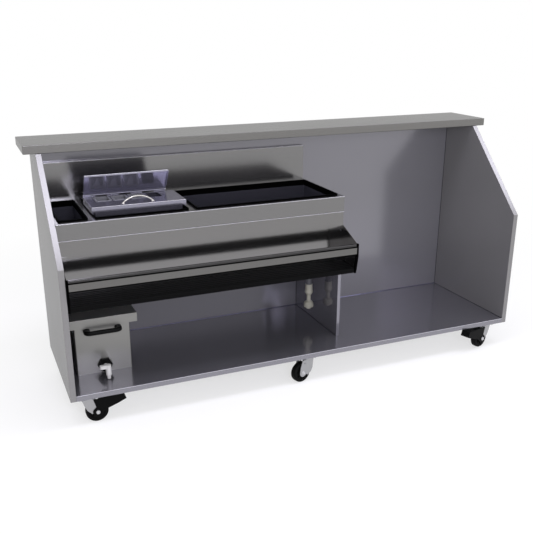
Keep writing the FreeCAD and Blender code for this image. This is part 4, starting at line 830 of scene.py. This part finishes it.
rail_screws = bmesh.new()
head = cross_head(5.2, 2.6)
shank = lathe([(0.0, 0.2), (3.0, 0.2), (3.0, -8.0), (0.0, -8.0)], 16)
for x in RAIL_SCREW_X:
    for z in RAIL_SCREW_Z:
        seat = Matrix.Translation((x, RAIL_WALL - SHEET_T, z)) @ TURN_X
        join_into(rail_screws, head, seat)
        join_into(rail_screws, shank, seat)
head.free()
shank.free()
set_piece("rail_cross_screws", rail_screws, "carcass", "screw_steel", None, ["rail_screws"], 40.0)
print("rail screws", len(RAIL_SCREW_X) * len(RAIL_SCREW_Z))

# %% [markdown]
# ## Seams
# Where the boards meet inside the bar, the picture shows thin dark lines, the shade in the joints.
# Each line is painted shade: a slim, near-black eight-sided rod laid along its joint and pressed
# into the corner.

# %% Painted seam shade
SEAM_R = 1.9
SEAM_FRONT = 4.0
INSIDE_LEFT, INSIDE_RIGHT = 25.4, 2311.4
BACK_FACE = 629.3
DECK_TOP = 25.4 + CASTER_H
UNIT_TOP_Z = 755.5 + CASTER_H
UNDER_TOP = 1009.0 + CASTER_H
DIVIDER_SIDES = (1367.0, 1384.0)
DIVIDER_FRONT = 145.0
CASING_BOTTOM = 431.0 + CASTER_H
SEAMS = [
    ((INSIDE_RIGHT, BACK_FACE, DECK_TOP), (INSIDE_RIGHT, BACK_FACE, UNDER_TOP)),
    ((INSIDE_LEFT, BACK_FACE, DECK_TOP), (INSIDE_LEFT, BACK_FACE, CASING_BOTTOM)),
    ((INSIDE_RIGHT, SEAM_FRONT, DECK_TOP), (INSIDE_RIGHT, BACK_FACE, DECK_TOP)),
    ((INSIDE_LEFT, SEAM_FRONT, DECK_TOP), (INSIDE_LEFT, BACK_FACE, DECK_TOP)),
    ((DIVIDER_SIDES[0], DIVIDER_FRONT, DECK_TOP), (DIVIDER_SIDES[0], BACK_FACE, DECK_TOP)),
    ((DIVIDER_SIDES[1], DIVIDER_FRONT, DECK_TOP), (DIVIDER_SIDES[1], BACK_FACE, DECK_TOP)),
    ((DIVIDER_SIDES[0], BACK_FACE, DECK_TOP), (DIVIDER_SIDES[0], BACK_FACE, CASING_BOTTOM)),
    ((DIVIDER_SIDES[1], BACK_FACE, DECK_TOP), (DIVIDER_SIDES[1], BACK_FACE, CASING_BOTTOM)),
]
beads = bmesh.new()
for start, end in SEAMS:
    add_rod(beads, start, end, SEAM_R, 8, 2 * SEAM_R)
set_piece("seam_shade_beads", beads, "carcass", "seam_shade")
print("sealant beads", len(SEAMS))

# %% [markdown]
# The joint between the deck and the back is a polished strip. It mirrors whatever is above it, so
# in the picture it runs from bright to dark. Its steel is tinted blue: a painted lavender reflection.

# %% Polished joint
JOINT_R = 3.0
joint = bmesh.new()
bmesh.ops.create_cone(
    joint, cap_ends=True, segments=12, radius1=JOINT_R, radius2=JOINT_R,
    depth=INSIDE_RIGHT - INSIDE_LEFT - 1.0,
)
joint_place = Matrix.Translation(((INSIDE_LEFT + INSIDE_RIGHT) / 2, BACK_FACE, DECK_TOP))
lying = Matrix.Rotation(math.radians(90), 4, "Y")
set_piece("back_joint", joint, "carcass", "joint_lavender_sheen_steel", joint_place @ lying)
print("polished joint", round(INSIDE_RIGHT - INSIDE_LEFT, 1))

# %% [markdown]
# ## Tray details
# The bow handle is welded to the tray plate, and each weld leaves a small smooth ring. A ring is
# a half-round outline spun about Z, then widened along the handle.

# %% Weld rings
HANDLE_Y = 222.5 + 33.0
HANDLE_ENDS = (338.0, 472.0)
weld_rings = bmesh.new()
for x in HANDLE_ENDS:
    ring = lathe([(2.4, -0.2), (5.6, -0.2), (5.0, 0.6), (4.0, 1.4), (3.0, 1.8), (2.4, 1.8)], 24)
    widened = Matrix.Diagonal((1.5, 1, 1, 1))
    join_into(weld_rings, ring, Matrix.Translation((x, HANDLE_Y, TRAY_TOP)) @ widened)
    ring.free()
set_piece("handle_welds", weld_rings, "tray", "handle_wire")
print("weld rings", len(HANDLE_ENDS))

# %% [markdown]
# ## Tank grip
# The pull handle is moulded plastic: broad feet on the tank, a slimmer bar between them. It is a
# sweep. A rounded outline is carried along a path with two quarter turns, and its size changes on
# the way from the foot to the bar.

# %% Tank grip
GRIP_MID_X, GRIP_Z = 191.5, 214.0 + DECK_TOP
GRIP_HALF, GRIP_OUT, GRIP_TURN = 71.0, 36.0, 16.0
TANK_FACE = 196.0
FOOT_SIZE, BAR_SIZE = (15.0, 11.0), (9.0, 10.0)


def grip_path():
    """Points from the left foot to the right one, each with how far it is from the feet."""
    y_bar = TANK_FACE - GRIP_OUT
    left = [(GRIP_MID_X - GRIP_HALF, TANK_FACE - 0.3), (GRIP_MID_X - GRIP_HALF, y_bar + GRIP_TURN)]
    for i in range(1, 9):
        turn = math.radians(90 * i / 8)
        left.append((
            GRIP_MID_X - GRIP_HALF + GRIP_TURN * (1 - math.cos(turn)),
            y_bar + GRIP_TURN * (1 - math.sin(turn)),
        ))
    right = [(2 * GRIP_MID_X - x, y) for x, y in reversed(left)]
    return left + right


def sweep_flat(path, height, size_at, sides=24):
    """Carry a rounded outline along a path that lies at one height."""
    bm = bmesh.new()
    rings = []
    for i, (x, y) in enumerate(path):
        before, after = path[max(i - 1, 0)], path[min(i + 1, len(path) - 1)]
        run = Vector((after[0] - before[0], after[1] - before[1], 0.0)).normalized()
        side = Vector((-run.y, run.x, 0.0))
        half_side, half_up = size_at(i)
        ring = []
        for k in range(sides):
            a = math.tau * k / sides
            c, w = math.cos(a), math.sin(a)
            across = half_side * math.copysign(abs(c) ** 0.6, c)
            up = half_up * math.copysign(abs(w) ** 0.6, w)
            ring.append(bm.verts.new(Vector((x, y, height + up)) + side * across))
        rings.append(ring)
    for a, b in zip(rings, rings[1:]):
        for k in range(sides):
            bm.faces.new((a[k], a[(k + 1) % sides], b[(k + 1) % sides], b[k]))
    bm.faces.new(rings[0])
    bm.faces.new(reversed(rings[-1]))
    return bm


path = grip_path()


def grip_size(i):
    """Half width and half height: the foot's size at both ends, the bar's in between."""
    step = min(i, len(path) - 1 - i)
    share = min(1.0, max(0.0, (step - 1) / 7))
    share = share * share * (3 - 2 * share)
    return tuple(f + (b - f) * share for f, b in zip(FOOT_SIZE, BAR_SIZE))


grip = sweep_flat(path, GRIP_Z, grip_size)
set_piece("tank_grip", grip, "tank", "black_handle", None, ["tank_handle"])
print("tank grip", len(path), "rings")

# %% [markdown]
# ## Folded edges
# Sheet steel is folded, not cut to a corner, and each fold catches the light as a thin bright
# line. The folds here are slim round strips set into the edges. Their round catches the lamps,
# and their steel is far paler than the sheets, a painted highlight. Their places are read from the
# imported nodes.


# %% Folded edges
def extent(node):
    """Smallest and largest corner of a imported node, in drawing millimetres."""
    packed = bpy.data.objects[node]
    points = [packed.matrix_world @ v.co for v in packed.data.vertices]
    low = Vector([min(p[i] for p in points) for i in range(3)])
    high = Vector([max(p[i] for p in points) for i in range(3)])
    return (low - DRAWING_ORIGIN) / MM, (high - DRAWING_ORIGIN) / MM


FOLD_R = 1.1
FOLD_IN = 0.8


# Each strip takes the pale fold steel, a painted highlight line.
def fold_highlight_strip(name, body, runs, radius=FOLD_R):
    strip = bmesh.new()
    for start, end in runs:
        add_rod(strip, start, end, radius, 10)
    return set_piece(name, strip, body, "fold_highlight_steel")


deck_low, deck_high = extent("bottom_deck")
unit_low, unit_high = extent("underbar_deck")
splash_low, splash_high = extent("backsplash")
APRON_LOW = UNIT_TOP_Z - 76.0
UNDER_DECK = FOLD_R + 0.1
fold_highlight_strip("carcass_fold_highlights", "carcass", [
    # The tank slides over the deck's fold, so that one ends just under the deck's top.
    (
        (deck_low.x, deck_low.y + FOLD_IN, deck_high.z - UNDER_DECK),
        (deck_high.x, deck_low.y + FOLD_IN, deck_high.z - UNDER_DECK),
    ),
    (
        (unit_low.x, unit_low.y + FOLD_IN, UNIT_TOP_Z - FOLD_IN),
        (unit_high.x, unit_low.y + FOLD_IN, UNIT_TOP_Z - FOLD_IN),
    ),
    ((unit_low.x, unit_low.y + 0.6, APRON_LOW), (unit_high.x, unit_low.y + 0.6, APRON_LOW)),
    (
        (splash_low.x, splash_low.y + FOLD_IN, splash_high.z - FOLD_IN),
        (splash_high.x, splash_low.y + FOLD_IN, splash_high.z - FOLD_IN),
    ),
])
tray_low, tray_high = extent("tray_plate")
fold_highlight_strip("tray_fold_highlights", "tray", [
    (
        (tray_low.x + 2, tray_low.y + FOLD_IN, TRAY_TOP - FOLD_IN),
        (tray_high.x - 2, tray_low.y + FOLD_IN, TRAY_TOP - FOLD_IN),
    ),
])
lid = bpy.data.objects["tray_lid"]
lid_points = [(lid.matrix_world @ v.co - DRAWING_ORIGIN) / MM for v in lid.data.vertices]
lid_top = max(lid_points, key=lambda p: p.z)
fold_highlight_strip("lid_fold_highlights", "tray_lid", [
    (
        (min(p.x for p in lid_points) + 0.5, lid_top.y, lid_top.z - 0.9),
        (max(p.x for p in lid_points) - 0.5, lid_top.y, lid_top.z - 0.9),
    ),
], 1.4)
print("folded edges", tuple(round(v, 1) for v in lid_top))

# %% [markdown]
# ## Customer side
# The picture doesn't show the side that faces the guests. Bars of this kind carry plain sheets
# there, with a flat strip over each joint and a row of small rivets. The strips here are thin
# bevelled bars, and the rivets are low domes made by one spin.

# %% Cover strips and rivets
STRIP_X = (803.0, 1534.0)
STRIP_W, STRIP_T, STRIP_H = 32.0, 1.4, 996.0
STRIP_MIDDLE = 504.5 + CASTER_H
RIVETS, RIVET_FIRST, RIVET_PITCH = 8, 40.0, 132.0
GUEST_FACE = 642.0
strips = bmesh.new()
rivets = bmesh.new()
rivet = lathe([(0.0, 0.0), (4.0, 0.0), (3.8, 0.7), (3.0, 1.4), (1.6, 1.9), (0.0, 2.0)], 16)
for x in STRIP_X:
    strip = bmesh.new()
    bmesh.ops.create_cube(strip, size=1.0, matrix=Matrix.Diagonal((STRIP_W, STRIP_T, STRIP_H, 1.0)))
    round_edges(strip, strip.edges[:], 0.5, 2)
    join_into(strips, strip, Matrix.Translation((x, GUEST_FACE + STRIP_T / 2, STRIP_MIDDLE)))
    strip.free()
    for i in range(RIVETS):
        height = CASTER_H + RIVET_FIRST + i * RIVET_PITCH
        seat = Matrix.Translation((x, GUEST_FACE + STRIP_T, height))
        join_into(rivets, rivet, seat @ Matrix.Rotation(math.radians(-90), 4, "X"))
rivet.free()
set_piece("cover_strips", strips, "carcass", "panel_steel")
set_piece("cover_rivets", rivets, "carcass", "caster_bolt_zinc")
print("cover strips", len(STRIP_X))

# %% [markdown]
# Colours are shown as they are written, with no film look on top.

# %% Finish
bpy.context.scene.view_settings.view_transform = "Standard"
